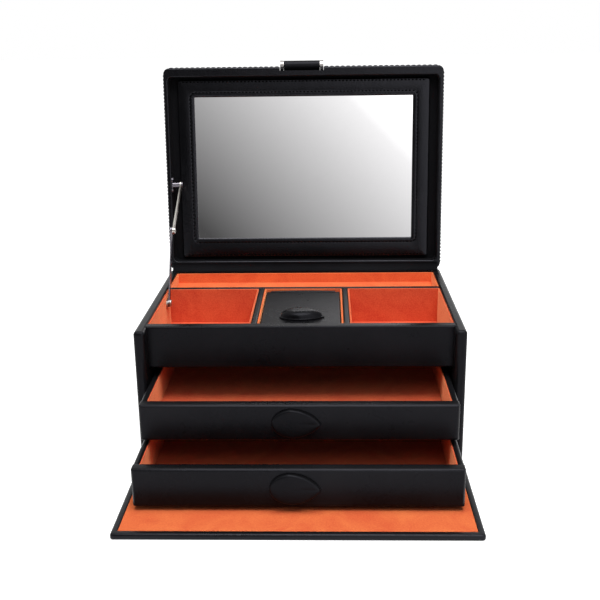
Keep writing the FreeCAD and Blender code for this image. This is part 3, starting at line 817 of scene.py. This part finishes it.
class JEWELRY_OT_mirror_frame(bpy.types.Operator):
    """Lay the padded leather frame round the mirror and sew its seams"""

    bl_idname = "jewelry_case.mirror_frame"
    bl_label = "Pad and Sew Mirror Frame"

    OUTER = ((0.0, 1.0), (0.0, 0.4), (0.00015, 0.2), (0.0006, 0.06), (0.0014, 0.01), (0.0036, -0.02),
             (0.006, -0.08))
    INNER = ((0.0012, -0.06), (0.0006, -0.035), (0.00025, 0.0), (0.0, 0.02), (-0.00025, 0.0),
             (-0.0006, -0.03), (-0.0012, -0.04), (-0.0024, -0.03))
    LIP = ((0.0011, 0.03), (0.0004, 0.1), (0.00005, 0.22), (0.0, 0.46))
    CORNER_STEPS = 6
    EDGE_STEPS = (44, 30)
    SIDE_RIM = 0.004
    END_RIM = 0.008
    RECESS_CORNER = 0.004
    SHADE_SHEET_TOP = 0.0026
    # Painted shade: sizes of the dark matt sheet in the lid's trough, where the channel lies in shade.
    CLOTH = 0.00015
    TUCK = 0.00005
    TOP_REACH = 0.0018
    TOP_SEAM = 0.002
    SEAM_CORNER = 0.0008
    LIP_CORNER = 0.0006
    SEAM_LEVEL = 0.01
    ROW_LEVEL = -0.03
    STILL_RINGS = (4, 6)
    WRINKLE_SCALE = 90.0
    WRINKLE = 0.0001
    CORNER_WRINKLE = 0.00022
    CORNER_REACH = 0.06
    SHADE_SHEET_LAP = 0.001
    SHADE_SHEET_RINGS = 6

    def execute(self, context):
        settings = context.scene.case_frame
        low, high = lid_box("mirror_frame")
        high.z += self.TOP_REACH
        glass_low, glass_high = lid_box("mirror_glass")
        lap, seam = settings.lap, settings.seam
        open_low = Vector((glass_low.x + lap, glass_low.y, glass_low.z + lap))
        open_high = Vector((glass_high.x - lap, glass_high.y, glass_high.z - lap))
        face, pad = low.y, high.y - low.y
        self.verts = []
        for inset, drop in self.OUTER:
            self.ring(low, high, -inset, max(settings.corner - inset, self.SEAM_CORNER), face + drop * pad)
        for reach, drop in self.INNER:
            self.ring(open_low, open_high, seam + reach, self.SEAM_CORNER + seam + reach, face + drop * pad)
        for reach, drop in self.LIP:
            self.ring(open_low, open_high, reach, self.LIP_CORNER + reach, face + drop * pad)
        self.ring(open_low, open_high, lap, self.LIP_CORNER + lap, glass_low.y)
        self.ring(open_low, open_high, lap, self.LIP_CORNER + lap, high.y)
        count = 4 * (self.CORNER_STEPS + 1) + 2 * (sum(self.EDGE_STEPS) - 2)
        rings = len(self.verts) // count
        self.wrinkle(rings, count, high)
        obj = new_piece("padded_mirror_frame", [LID_PLACE @ vert for vert in self.verts],
                        ring_faces(rings, count, close=True), "padded_leather")
        worn_by(obj, "lid", "leather", "mirror_frame")
        self.paint_trough_shade(low, high, settings.corner)

        level = face + self.SEAM_LEVEL * pad
        ring = rounded_ring(open_low.x - seam, open_high.x + seam, open_low.z - seam, open_high.z + seam,
                            self.SEAM_CORNER + seam, self.CORNER_STEPS, (1, 1))
        path = [Vector((x, level, s)) for x, s in ring]
        level = face + self.ROW_LEVEL * pad
        ends = (low.x + settings.corner * 2, high.x - settings.corner * 2)
        rows = [([Vector((x, level, s)) for x in ends], False)
                for s in (low.z + settings.low_seam, high.z - self.TOP_SEAM)]
        sew("mirror_frame_stitches", "lid", [(path, True)] + rows, LID_PLACE, settings)
        return {"FINISHED"}

    def paint_trough_shade(self, low, high, corner):
        """Line the channel between the frame and the lid's rim with black cloth."""
        shell_low, shell_high = lid_box("lid_shell")
        wall_low = Vector((shell_low.x + self.SIDE_RIM, 0, shell_low.z + self.END_RIM))
        wall_high = Vector((shell_high.x - self.SIDE_RIM, 0, shell_high.z - self.END_RIM))
        floor = high.y + self.TUCK
        self.verts = []
        for level in (self.SHADE_SHEET_TOP, floor):
            self.ring(wall_low, wall_high, self.TUCK, self.RECESS_CORNER, level)
        for level in (floor, floor - self.CLOTH):
            self.ring(low, high, -self.SHADE_SHEET_LAP, corner - self.SHADE_SHEET_LAP, level)
        for level in (floor - self.CLOTH, self.SHADE_SHEET_TOP):
            self.ring(wall_low, wall_high, -self.CLOTH, self.RECESS_CORNER, level)
        count = len(self.verts) // self.SHADE_SHEET_RINGS
        obj = new_piece("lid_trough_shade_sheet", [LID_PLACE @ vert for vert in self.verts],
                        ring_faces(self.SHADE_SHEET_RINGS, count, close=True), "trough_shade_sheet", smooth=False)
        worn_by(obj, "lid", "leather")

    def ring(self, low, high, grow, radius, level):
        """One ring of the frame's section at its own thickness."""
        points = rounded_ring(low.x - grow, high.x + grow, low.z - grow, high.z + grow, radius,
                              self.CORNER_STEPS, self.EDGE_STEPS)
        self.verts += [Vector((x, level, s)) for x, s in points]

    def wrinkle(self, rings, count, high):
        """Pull soft wrinkles into the face, deepest at the upper right corner."""
        first, last = self.STILL_RINGS
        corner = Vector((high.x, 0.0, high.z))
        for vert in self.verts[first * count:(rings - last) * count]:
            spot = Vector((vert.x, 0.0, vert.z))
            near = max(0.0, 1.0 - (corner - spot).length / self.CORNER_REACH)
            vert.y += noise.noise(spot * self.WRINKLE_SCALE) * (self.WRINKLE + self.CORNER_WRINKLE * near)


def sew(name, body, paths, place, settings):
    """Stitch rows along paths of points, each closed or open, as one mesh."""
    verts, edges = [], []
    for points, closed in paths:
        first = len(verts)
        verts += [place @ point for point in points]
        edges += [(first + i, first + i + 1) for i in range(len(points) - 1)]
        if closed:
            edges.append((len(verts) - 1, first))
    obj = placed(name, plain_mesh(name, verts, edges, []))
    add_tree(obj, stitch_tree(), {"Stitch": settings.stitch, "Pitch": settings.pitch,
                                  "Thread": settings.thread, "Finish": FINISHES["thread"]})
    evaluated(obj)
    obj.data.shade_smooth()
    return worn_by(obj, body, "leather")


def arc_points(start, via, end, count):
    """Points from start towards end on the circle through three points."""
    (ax, ay), (bx, by), (cx, cy) = start, via, end
    d = 2.0 * (ax * (by - cy) + bx * (cy - ay) + cx * (ay - by))
    aa, bb, cc = ax * ax + ay * ay, bx * bx + by * by, cx * cx + cy * cy
    ox = (aa * (by - cy) + bb * (cy - ay) + cc * (ay - by)) / d
    oy = (aa * (cx - bx) + bb * (ax - cx) + cc * (bx - ax)) / d
    radius = math.hypot(ax - ox, ay - oy)
    begin = math.atan2(ay - oy, ax - ox)
    sweep = (math.atan2(cy - oy, cx - ox) - begin + math.pi) % (2 * math.pi) - math.pi
    angles = [begin + sweep * i / count for i in range(count)]
    return [(ox + radius * math.cos(angle), oy + radius * math.sin(angle)) for angle in angles]


class JEWELRY_OT_pulls(bpy.types.Operator):
    """Pad the leaf-shaped pulls of the drawers and the small case"""

    bl_idname = "jewelry_case.pulls"
    bl_label = "Pad Leaf Pulls"

    ENDS = ((0.5, -0.04), (-0.12, 0.5), (-0.5, 0.0), (-0.04, -0.5))
    WAYS = ((0.24, 0.35), (-0.39, 0.33), (-0.36, -0.35), (0.29, -0.33))
    FLAT_SECTION = (
        (1.0, 0.0), (1.0, 0.3), (0.996, 0.5), (0.986, 0.66), (0.968, 0.79), (0.942, 0.88), (0.905, 0.94),
        (0.85, 0.975), (0.72, 0.99), (0.5, 1.0), (0.25, 1.0), (0.05, 1.0))
    ROUND_SECTION = (
        (1.0, 0.0), (1.0, 0.1), (0.994, 0.15), (0.982, 0.17), (0.962, 0.17), (0.945, 0.15), (0.925, 0.18),
        (0.912, 0.33), (0.885, 0.49), (0.84, 0.61), (0.77, 0.72), (0.67, 0.83), (0.54, 0.91), (0.38, 0.96),
        (0.2, 0.99), (0.06, 1.0))
    ARC_STEPS = 20
    APEX = (-0.06, 0.04)
    CREASE_WIDTH = 0.05
    SINK = 0.0004

    def execute(self, context):
        settings = context.scene.case_pulls
        for body in ("upper_drawer", "lower_drawer"):
            node = body + "_pull"
            low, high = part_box(node)
            place = Matrix(((1, 0, 0, (low.x + high.x) / 2), (0, 0, -1, high.y),
                            (0, 1, 0, (low.z + high.z) / 2), (0, 0, 0, 1)))
            size = (high.x - low.x, high.z - low.z, high.y - low.y)
            self.leaf(settings, node, body, place, size, self.FLAT_SECTION)
        node = "small_case_pull"
        low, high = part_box(node)
        lid_low, lid_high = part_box("small_case_lid")
        dome = settings.dome
        place = Matrix.Translation(((low.x + high.x) / 2, (low.y + high.y) / 2, lid_high.z - dome))
        size = (high.x - low.x, high.y - low.y, high.z - lid_high.z)
        reach = (lid_high.x - lid_low.x) / 2
        self.leaf(settings, node, "small_case_lid", place, size, self.ROUND_SECTION, dome, reach)
        return {"FINISHED"}

    def leaf(self, settings, node, body, place, size, section, dome=0.0, reach=1.0):
        """One padded leaf with a section from its edge to its middle, on a flat or domed seat."""
        ends = list(self.ENDS)
        outline = []
        for start, via, end in zip(ends, self.WAYS, ends[1:] + ends[:1]):
            outline += arc_points(start, via, end, self.ARC_STEPS)
        lows = [min(point[axis] for point in outline) for axis in (0, 1)]
        spans = [max(point[axis] for point in outline) - lows[axis] for axis in (0, 1)]
        outline = [Vector([((point[axis] - lows[axis]) / spans[axis] - 0.5) * size[axis] for axis in (0, 1)])
                   for point in outline]
        apex = Vector((self.APEX[0] * size[0], self.APEX[1] * size[1]))
        verts = []
        for part, rise in section:
            up = rise * size[2]
            for point in outline:
                spot = apex + (point - apex) * part
                tail = max(0.0, (spot.x - apex.x) / size[0])
                aside = (spot.y - apex.y * (1 - part)) / (self.CREASE_WIDTH * size[1])
                crease = math.exp(-aside ** 2) * tail * settings.crease
                seat = dome * (1.0 - ((place.translation.x + spot.x) / reach) ** 2) if dome else 0.0
                sink = -self.SINK if dome and up == 0.0 else 0.0
                verts.append(place @ Vector((spot.x, spot.y, seat + sink + up * (1.0 - crease))))
        count = len(outline)
        faces = ring_faces(len(section), count)
        faces += [tuple(range(count))[::-1], tuple(range((len(section) - 1) * count, len(section) * count))]
        obj = new_piece("padded_" + node, verts, faces, "leather")
        worn_by(obj, body, "leather", node)


class JEWELRY_OT_straps(bpy.types.Operator):
    """Join the flap, the lid and the small case's lid with leather that bends"""

    bl_idname = "jewelry_case.straps"
    bl_label = "Hang Leather Hinges"

    STEPS = 10
    COLUMNS = 24
    FLAP_THICK = 0.9
    FLAP_BELLY = 0.25
    SMALL_THICK = 0.7
    SMALL_FOLD = (
        (0.0, 0.0012, 1.0, 0.0), (0.0, 0.0004, 0.9, 0.3), (0.0003, 0.0, 0.6, 0.6),
        (0.0009, -0.0001, 0.0, 0.6), (0.0022, -0.0001, 0.0, 0.5), (0.0036, -0.0001, 0.0, 0.3))
    FOLD_START = -0.0008
    FOLD_END = 0.0002
    COVER_REACH = 0.0066
    COVER_BEND = 0.0048
    COVER_LIFT = 0.00014
    COVER_MARGIN = 0.0025
    COVER_INSIDE = Vector((0, -0.001, 0.0009))
    COVER_THICK = Vector((0, 0.0001, -0.0001))

    def execute(self, context):
        low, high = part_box("flap_hinge_strip")
        thick = high.z - low.z
        start, end = high.y, low.y
        line = []
        for i in range(self.STEPS + 1):
            rise = thick * self.FLAP_BELLY * math.sin(math.pi * i / self.STEPS)
            line.append(Vector((0, start + (end - start) * i / self.STEPS, low.z + rise)))
        levels = [Vector((0, 0, thick * self.FLAP_THICK))] * len(line)
        strap = self.strap("flap_hinge_leather", line, (low.x, high.x), levels)
        bends(strap, ("case", "flap"), (0, start, 0), (0, end, 0), "flap_hinge_strip")

        self.hinge_cover()
        self.small_hinge(context.scene.case_pulls.dome)
        return {"FINISHED"}

    def small_hinge(self, dome):
        """A strip up the small case's back that folds over the back edge of its lid."""
        low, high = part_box("small_case_hinge")
        lid_low, lid_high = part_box("small_case_lid")
        back, top, thick = low.y, high.z, (high.y - low.y) * self.SMALL_THICK
        line, levels, climbs = [], [], []
        for i in range(self.STEPS + 1):
            line.append(Vector((0, back, low.z + (lid_low.z - low.z) * i / self.STEPS)))
            levels.append(Vector((0, thick, 0)))
            climbs.append(0.0)
        for inset, drop, out, up in self.SMALL_FOLD:
            line.append(Vector((0, back - inset, top - drop)))
            levels.append(Vector((0, out, up)) * thick)
            climbs.append(dome)
        strap = self.strap("small_case_hinge_leather", line, (low.x, high.x), levels, climbs, lid_high.x)
        bends(strap, ("small_case", "small_case_lid"), (0, back, top + self.FOLD_START),
              (0, back, top + self.FOLD_END), "small_case_hinge")

    def hinge_cover(self):
        """A thin strip over the piano hinge, from the case's back edge up to the lid's lower rim."""
        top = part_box("back_panel")[1].z
        case_end = Vector((0, LID_HINGE.y - self.COVER_REACH, top + self.COVER_LIFT))
        case_bend = Vector((0, LID_HINGE.y - self.COVER_BEND, top + self.COVER_LIFT))
        lid_bend = LID_PLACE @ Vector((0, -self.COVER_LIFT, self.COVER_BEND))
        lid_end = LID_PLACE @ Vector((0, -self.COVER_LIFT, self.COVER_REACH))
        inside = LID_HINGE + self.COVER_INSIDE
        line = [case_end]
        for i in range(self.STEPS + 1):
            part = i / self.STEPS
            line.append(case_bend * (1 - part) ** 2 + inside * 2 * part * (1 - part) + lid_bend * part ** 2)
        line.append(lid_end)
        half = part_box("lid_shell")[1].x - self.COVER_MARGIN
        levels = [self.COVER_THICK] * len(line)
        strap = self.strap("hinge_cover_leather", line, (-half, half), levels, finish="matt_leather")
        bends(strap, ("case", "lid"), case_bend, lid_bend)

    def strap(self, name, line, ends, levels, climbs=None, reach=1.0, finish="leather"):
        """A strip of leather along a line, with a thickness for each row, that may climb a domed edge."""
        columns = self.COLUMNS
        places = [ends[0] + (ends[1] - ends[0]) * k / columns for k in range(columns + 1)]
        verts = []
        for outer in (False, True):
            for row, spot in enumerate(line):
                level = levels[row] if outer else Vector()
                climb = climbs[row] if climbs else 0.0
                verts += [level + Vector((x, spot.y, spot.z + climb * (1.0 - (x / reach) ** 2)))
                          for x in places]
        wide, rows = columns + 1, len(line)
        layer = wide * rows
        faces = []
        for i in range(rows - 1):
            for k in range(columns):
                low = i * wide + k
                face = (low, low + 1, low + wide + 1, low + wide)
                faces += [face, tuple(layer + vert for vert in face[::-1])]
            for k in (0, columns):
                low = i * wide + k
                faces.append((low, low + wide, layer + low + wide, layer + low))
        for k in range(columns):
            for i in (0, rows - 1):
                low = i * wide + k
                faces.append((low, low + 1, layer + low + 1, layer + low))
        return new_piece(name, verts, faces, finish, smooth=False)


class JEWELRY_OT_covers(bpy.types.Operator):
    """Cover the flap's board, the drawers' fronts and the clasp's tab in leather with turned edges"""

    bl_idname = "jewelry_case.covers"
    bl_label = "Cover Flap, Fronts and Clasp"

    CORNER_STEPS = 5
    EDGE_STEPS = (8, 8)
    LEAST_CORNER = 0.0003
    FLAP_CORNER = 0.0025
    INNER_CORNER = 0.0006
    FLAP_EDGE = ((-0.0008, 0.0), (-0.0002, 0.07), (0.0, 0.2), (0.0, 0.64), (-0.0002, 0.77), (-0.0007, 0.9),
                 (-0.0013, 0.98), (-0.002, 1.0))
    FLAP_INNER = ((0.0008, 1.0), (0.0003, 0.97), (0.0, 0.9), (0.0, 0.8))
    FRONT_CORNER = 0.0012
    FRONT_EDGE = (
        (-0.003, 0.0), (-0.0016, 0.0), (-0.0014, 0.008), (-0.0012, 0.03), (-0.001, 0.05),
        (-0.0003, 0.1375), (-0.0001, 0.18), (0.0, 0.24), (0.0, 0.94), (0.0, 1.0), (-0.0002, 1.0),
        (-0.002, 1.0))
    TAB_EDGE = 0.0006
    TAB_CORNER = 0.009
    TAB_SEAM = 0.0026
    TAB_STEPS = 6

    def execute(self, context):
        low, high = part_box("flap_panel")
        inner_low, inner_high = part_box("flap_lining")
        rows = [(low, high, self.FLAP_CORNER, row) for row in self.FLAP_EDGE]
        rows += [(inner_low, inner_high, self.INNER_CORNER, row) for row in self.FLAP_INNER]
        verts = []
        for near, far, corner, (grow, part) in rows:
            ring = rounded_ring(near.x - grow, far.x + grow, near.y - grow, far.y + grow, corner,
                                self.CORNER_STEPS, self.EDGE_STEPS)
            verts += [Vector((x, y, low.z + (high.z - low.z) * part)) for x, y in ring]
        self.board("leather_flap_board", "flap", "flap_panel", verts, len(rows), "flap_leather")
        for body in ("upper_drawer", "lower_drawer"):
            self.drawer_front(body, body + "_front")

        tab = softened("leather_clasp_tab", "clasp_tab", self.TAB_EDGE, "leather")
        worn_by(tab, "clasp", "leather", "clasp_tab")
        low, high = lid_box("clasp_tab")
        seam = self.TAB_SEAM
        ring = rounded_ring(low.x + seam, high.x - seam, low.z + seam, high.z, self.TAB_CORNER - seam,
                            self.TAB_STEPS, (1, 1))
        row = [Vector((x, high.y, along)) for x, along in ring if along < high.z - self.TAB_CORNER]
        sew("clasp_tab_stitches", "clasp", [(row, False)], LID_PLACE, context.scene.case_frame)
        return {"FINISHED"}

    def board(self, name, body, node, verts, rows, finish):
        """A closed board from rows of rings."""
        count = len(verts) // rows
        faces = ring_faces(rows, count)
        faces += [tuple(range(count))[::-1], tuple(range(len(verts) - count, len(verts)))]
        worn_by(new_piece(name, verts, faces, finish), body, "leather", node)

    def drawer_front(self, body, node):
        """A drawer's front with the leather turned softly round its edges."""
        low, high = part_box(node)
        verts = []
        for grow, part in self.FRONT_EDGE:
            ring = rounded_ring(low.x - grow, high.x + grow, low.z - grow, high.z + grow,
                                max(self.FRONT_CORNER + grow, self.LEAST_CORNER), self.CORNER_STEPS,
                                self.EDGE_STEPS)
            verts += [Vector((x, low.y + (high.y - low.y) * part, z)) for x, z in ring]
        self.board("leather_" + node, body, node, verts, len(self.FRONT_EDGE), "front_leather")


class JEWELRY_OT_fasteners(bpy.types.Operator):
    """Set the small rivets of the stay and the screws of the piano hinge"""

    bl_idname = "jewelry_case.fasteners"
    bl_label = "Set Rivets and Screws"

    PLATE = 0.0008
    INSET = 0.0024
    WALL_HEAD = 0.00025
    LID_HEAD = 0.0006
    SCREW_HEAD = 0.0005
    SCREW_LEVEL = 0.0035
    SCREW_PLACES = (0.06, 0.28, 0.5, 0.72, 0.94)

    def execute(self, context):
        metal = context.scene.case_metal
        tree = rivet_tree()
        low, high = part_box("stay_bracket_case")
        middle = (low.z + high.z) / 2
        spots = [Vector((low.x + self.PLATE, y, middle)) for y in (low.y + self.INSET, high.y - self.INSET)]
        self.heads("wall_plate_rivets", "case", tree, metal.rivet, self.WALL_HEAD, spots, Vector((1, 0, 0)))
        low, high = lid_box("stay_bracket_lid")
        middle = (low.y + high.y) / 2
        spots = [LID_PLACE @ Vector((low.x + self.PLATE, middle, s))
                 for s in (low.z + self.INSET, high.z - self.INSET)]
        facing = LID_PLACE.to_3x3() @ Vector((1, 0, 0))
        # Painted shade: the lid plate's rivets take the darker nickel copy, as they lie in shade.
        self.heads("lid_plate_rivets", "lid", tree, metal.rivet, self.LID_HEAD, spots, facing, "dark_steel")
        low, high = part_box("hinge_leaf_case")
        spots = [Vector((low.x + (high.x - low.x) * part, LID_HINGE.y, low.z + self.SCREW_LEVEL))
                 for part in self.SCREW_PLACES]
        self.heads("hinge_screws", "case", tree, metal.screw, self.SCREW_HEAD, spots, Vector((0, 1, 0)))
        return {"FINISHED"}

    def heads(self, name, body, tree, radius, height, spots, facing, finish="steel"):
        """One body's heads as one mesh, all facing one way."""
        mesh = plain_mesh(name, spots, [], [])
        store(mesh, "facing", "FLOAT_VECTOR", list(facing) * len(spots))
        obj = placed(name, mesh)
        add_tree(obj, tree, {"Radius": radius, "Height": height, "Finish": FINISHES[finish]})
        evaluated(obj)
        obj.data.shade_smooth()
        worn_by(obj, body, "steel")


def background_rays(graph, reflected=1.0):
    """One for rays that show the background, a share for reflected ones, nought for mere light."""
    rays = graph.node("ShaderNodeLightPath").socket.node
    seen = Wire(graph, rays.outputs["Is Camera Ray"])
    for name in ("Is Glossy Ray", "Is Transmission Ray"):
        seen = seen.math("MAXIMUM", seen, Wire(graph, rays.outputs[name]) * reflected)
    return seen


class JEWELRY_OT_stage(bpy.types.Operator):
    """Set the floor, the soft lamps, the card that the mirror shows and the camera"""

    bl_idname = "jewelry_case.stage"
    bl_label = "Set Stage"

    FLOOR_LEVEL = -0.0001
    FLOOR_SIDES = (-6, 6)
    FLOOR_ENDS = (-6, 8)
    CARD_SIDES = (-4.0, 4.0)
    CARD_ENDS = (0.001, 3.0)
    CARD_PLACE = -2.2
    WHITE_SCALE = 0.4
    WHITE_FADE = ((0.1, 0.72), (0.6, 1.0))
    NEAR_SCALE = 0.25
    NEAR_FADE = ((0.06, 0.06), (0.34, 1.0))
    ACROSS = (1.62, 0.62)
    RISE = (2.075, -0.062)
    RISE_LIMIT = 1.2
    RISE_SHARE = 0.75
    WING = -0.6
    WING_LIMIT = 0.6
    GLOW = (0.42, 0.14, 0.075)
    SPARE_FROM = 1.5
    SPARE_GAIN = 1.5
    TONE_SCALE = 0.4
    TONE_TOP = 2.475
    SENSOR = 36.0

    def execute(self, context):
        scene = context.scene
        settings = scene.case_stage
        scene.view_settings.view_transform = "Standard"
        self.floor(settings)
        self.card()
        self.sky(scene, settings)
        self.lamps()
        self.camera(scene, settings)
        return {"FINISHED"}

    def flat(self, name, corners, made):
        """A flat sheet of the stage."""
        mesh = plain_mesh(name, corners, [], [tuple(range(len(corners)))])
        mesh.materials.append(made)
        obj = placed(name, mesh)
        return obj

    def floor(self, settings):
        """A pale floor that looks white, and darker towards the front in reflections."""
        made, graph, place = material("pale_floor")
        speck = graph.noise(place, scale=40.0, detail=2.0)
        away = graph.node("ShaderNodeVectorMath", {"operation": "LENGTH"}, {0: place}, out="Value")
        white = graph.ramp(away * self.WHITE_SCALE, *self.WHITE_FADE)
        depth = graph.node("ShaderNodeSeparateXYZ", {}, {"Vector": place}, out="Y")
        near = graph.ramp(depth * self.NEAR_SCALE + 0.5, *self.NEAR_FADE)
        worn = [value * 0.98 for value in settings.floor]
        shade(graph, {
            "Base Color": graph.mix(speck * 0.2, settings.floor, worn),
            "Roughness": 0.9,
            "Specular IOR Level": 0.1,
            "Emission Color": graph.mix(background_rays(graph, near), (0.0, 0.0, 0.0), white),
            "Emission Strength": 1.0,
        })
        (left, right), (front, back) = self.FLOOR_SIDES, self.FLOOR_ENDS
        corners = ((left, front), (right, front), (right, back), (left, back))
        self.flat("floor", [(x, y, self.FLOOR_LEVEL) for x, y in corners], made)

    def card(self):
        """A grey card behind the camera, light at its upper right, which only reflections show."""
        made, graph, place = material("reflector_card")
        split = graph.node("ShaderNodeSeparateXYZ", {}, {"Vector": place}).socket.node
        aside = Wire(graph, split.outputs["X"])
        across = aside * self.ACROSS[0] + self.ACROSS[1]
        rise = Wire(graph, split.outputs["Z"]) * self.RISE[0] + self.RISE[1]
        light = across + rise.math("MINIMUM", rise, self.RISE_LIMIT) * self.RISE_SHARE
        wing = aside * self.WING + self.WING
        wing = wing.math("MINIMUM", wing, self.WING_LIMIT)
        light = light.math("MAXIMUM", light, wing.math("MAXIMUM", wing, 0.0))
        spare = light - self.SPARE_FROM
        plain, square, even = self.GLOW
        glow = light * plain + light * light * square + even
        glow = glow + spare.math("MAXIMUM", spare, 0.0) * self.SPARE_GAIN
        tone = graph.ramp(glow * self.TONE_SCALE, (0.0, 0.0), (1.0, self.TONE_TOP))
        lit = graph.node("ShaderNodeEmission", {}, {"Color": tone, "Strength": 1.0})
        graph.node("ShaderNodeOutputMaterial", {}, {"Surface": lit})
        (left, right), (bottom, top) = self.CARD_SIDES, self.CARD_ENDS
        corners = ((left, bottom), (left, top), (right, top), (right, bottom))
        obj = self.flat("mirror_card", [(x, self.CARD_PLACE, z) for x, z in corners], made)
        obj.visible_camera = False
        obj.visible_diffuse = False
        obj.visible_shadow = False
        obj.visible_transmission = False

    def sky(self, scene, settings):
        """A white background that gives only a little light."""
        world = bpy.data.worlds.new("studio")
        world.use_nodes = True
        scene.world = world
        graph = Graph(world.node_tree)
        strength = background_rays(graph) * (1.0 - settings.ambient) + settings.ambient
        light = graph.node("ShaderNodeBackground", {}, {"Color": (1.0, 1.0, 1.0, 1.0), "Strength": strength})
        graph.node("ShaderNodeOutputWorld", {}, {"Surface": light})

    def lamps(self):
        """A small soft lamp in front and a large one above."""
        fill = self.lamp("front_box", energy=1.6, spot=(0.12, -1.0, 0.95), size=0.5)
        fill.visible_glossy = False
        fill.visible_camera = False
        self.lamp("top_box", energy=29.0, spot=(0.1, -0.4, 1.56), size=1.15)

    def lamp(self, name, energy, spot, size):
        """A square lamp that faces the part."""
        data = bpy.data.lights.new(name, "AREA")
        data.energy = energy
        data.size = size
        obj = placed(name, data)
        facing = Vector(spot).to_track_quat("Z", "Y").to_matrix().to_4x4()
        obj.matrix_world = Matrix.Translation(spot) @ facing
        return obj

    def camera(self, scene, settings):
        """The camera of the photograph."""
        data = bpy.data.cameras.new("photo_camera")
        data.lens = settings.lens
        data.sensor_width = self.SENSOR
        obj = placed("photo_camera", data)
        level = math.cos(settings.pitch)
        ahead = Vector((math.sin(settings.yaw) * level, math.cos(settings.yaw) * level,
                        -math.sin(settings.pitch)))
        right = Vector((math.cos(settings.yaw), -math.sin(settings.yaw), 0.0))
        up = right.cross(ahead)
        tip, tilt = math.cos(settings.roll), math.sin(settings.roll)
        across, upright = right * tip + up * tilt, up * tip - right * tilt
        turned = Matrix((across, upright, -ahead)).transposed()
        obj.matrix_world = Matrix.Translation(settings.camera) @ turned.to_4x4()
        scene.camera = obj


class JEWELRY_PT_panel(bpy.types.Panel):
    """The steps and settings of the jewelry case."""

    bl_idname = "JEWELRY_PT_panel"
    bl_label = "Jewelry Case"
    bl_space_type = "VIEW_3D"
    bl_region_type = "UI"
    bl_category = "Jewelry Case"

    def draw(self, context):
        for operator in OPERATORS:
            self.layout.operator(operator.bl_idname)
        for name, group in SETTINGS.items():
            column = self.layout.column(heading=group.__doc__)
            for title in group.__annotations__:
                column.prop(getattr(context.scene, name), title)


SETTINGS = {
    "case_leather": LeatherSettings,
    "case_emboss": EmbossSettings,
    "case_suede": SuedeSettings,
    "case_frame": FrameSettings,
    "case_pulls": PullSettings,
    "case_metal": MetalSettings,
    "case_stage": StageSettings,
}
OPERATORS = (
    JEWELRY_OT_finishes,
    JEWELRY_OT_linings,
    JEWELRY_OT_lid_skin,
    JEWELRY_OT_mirror_frame,
    JEWELRY_OT_pulls,
    JEWELRY_OT_straps,
    JEWELRY_OT_covers,
    JEWELRY_OT_fasteners,
    JEWELRY_OT_stage,
)


def register():
    for group in SETTINGS.values():
        bpy.utils.register_class(group)
    for name, group in SETTINGS.items():
        setattr(bpy.types.Scene, name, PointerProperty(type=group))
    for operator in OPERATORS:
        bpy.utils.register_class(operator)
    bpy.utils.register_class(JEWELRY_PT_panel)


def unregister():
    bpy.utils.unregister_class(JEWELRY_PT_panel)
    for operator in reversed(OPERATORS):
        bpy.utils.unregister_class(operator)
    for name, group in SETTINGS.items():
        delattr(bpy.types.Scene, name)
        bpy.utils.unregister_class(group)


def main():
    """Dress the case step by step and write down its size."""
    register()
    bpy.ops.jewelry_case.finishes()
    bpy.ops.jewelry_case.linings()
    bpy.ops.jewelry_case.lid_skin()
    bpy.ops.jewelry_case.mirror_frame()
    bpy.ops.jewelry_case.pulls()
    bpy.ops.jewelry_case.straps()
    bpy.ops.jewelry_case.covers()
    bpy.ops.jewelry_case.fasteners()
    bpy.ops.jewelry_case.stage()


if __name__ == "__main__":
    main()
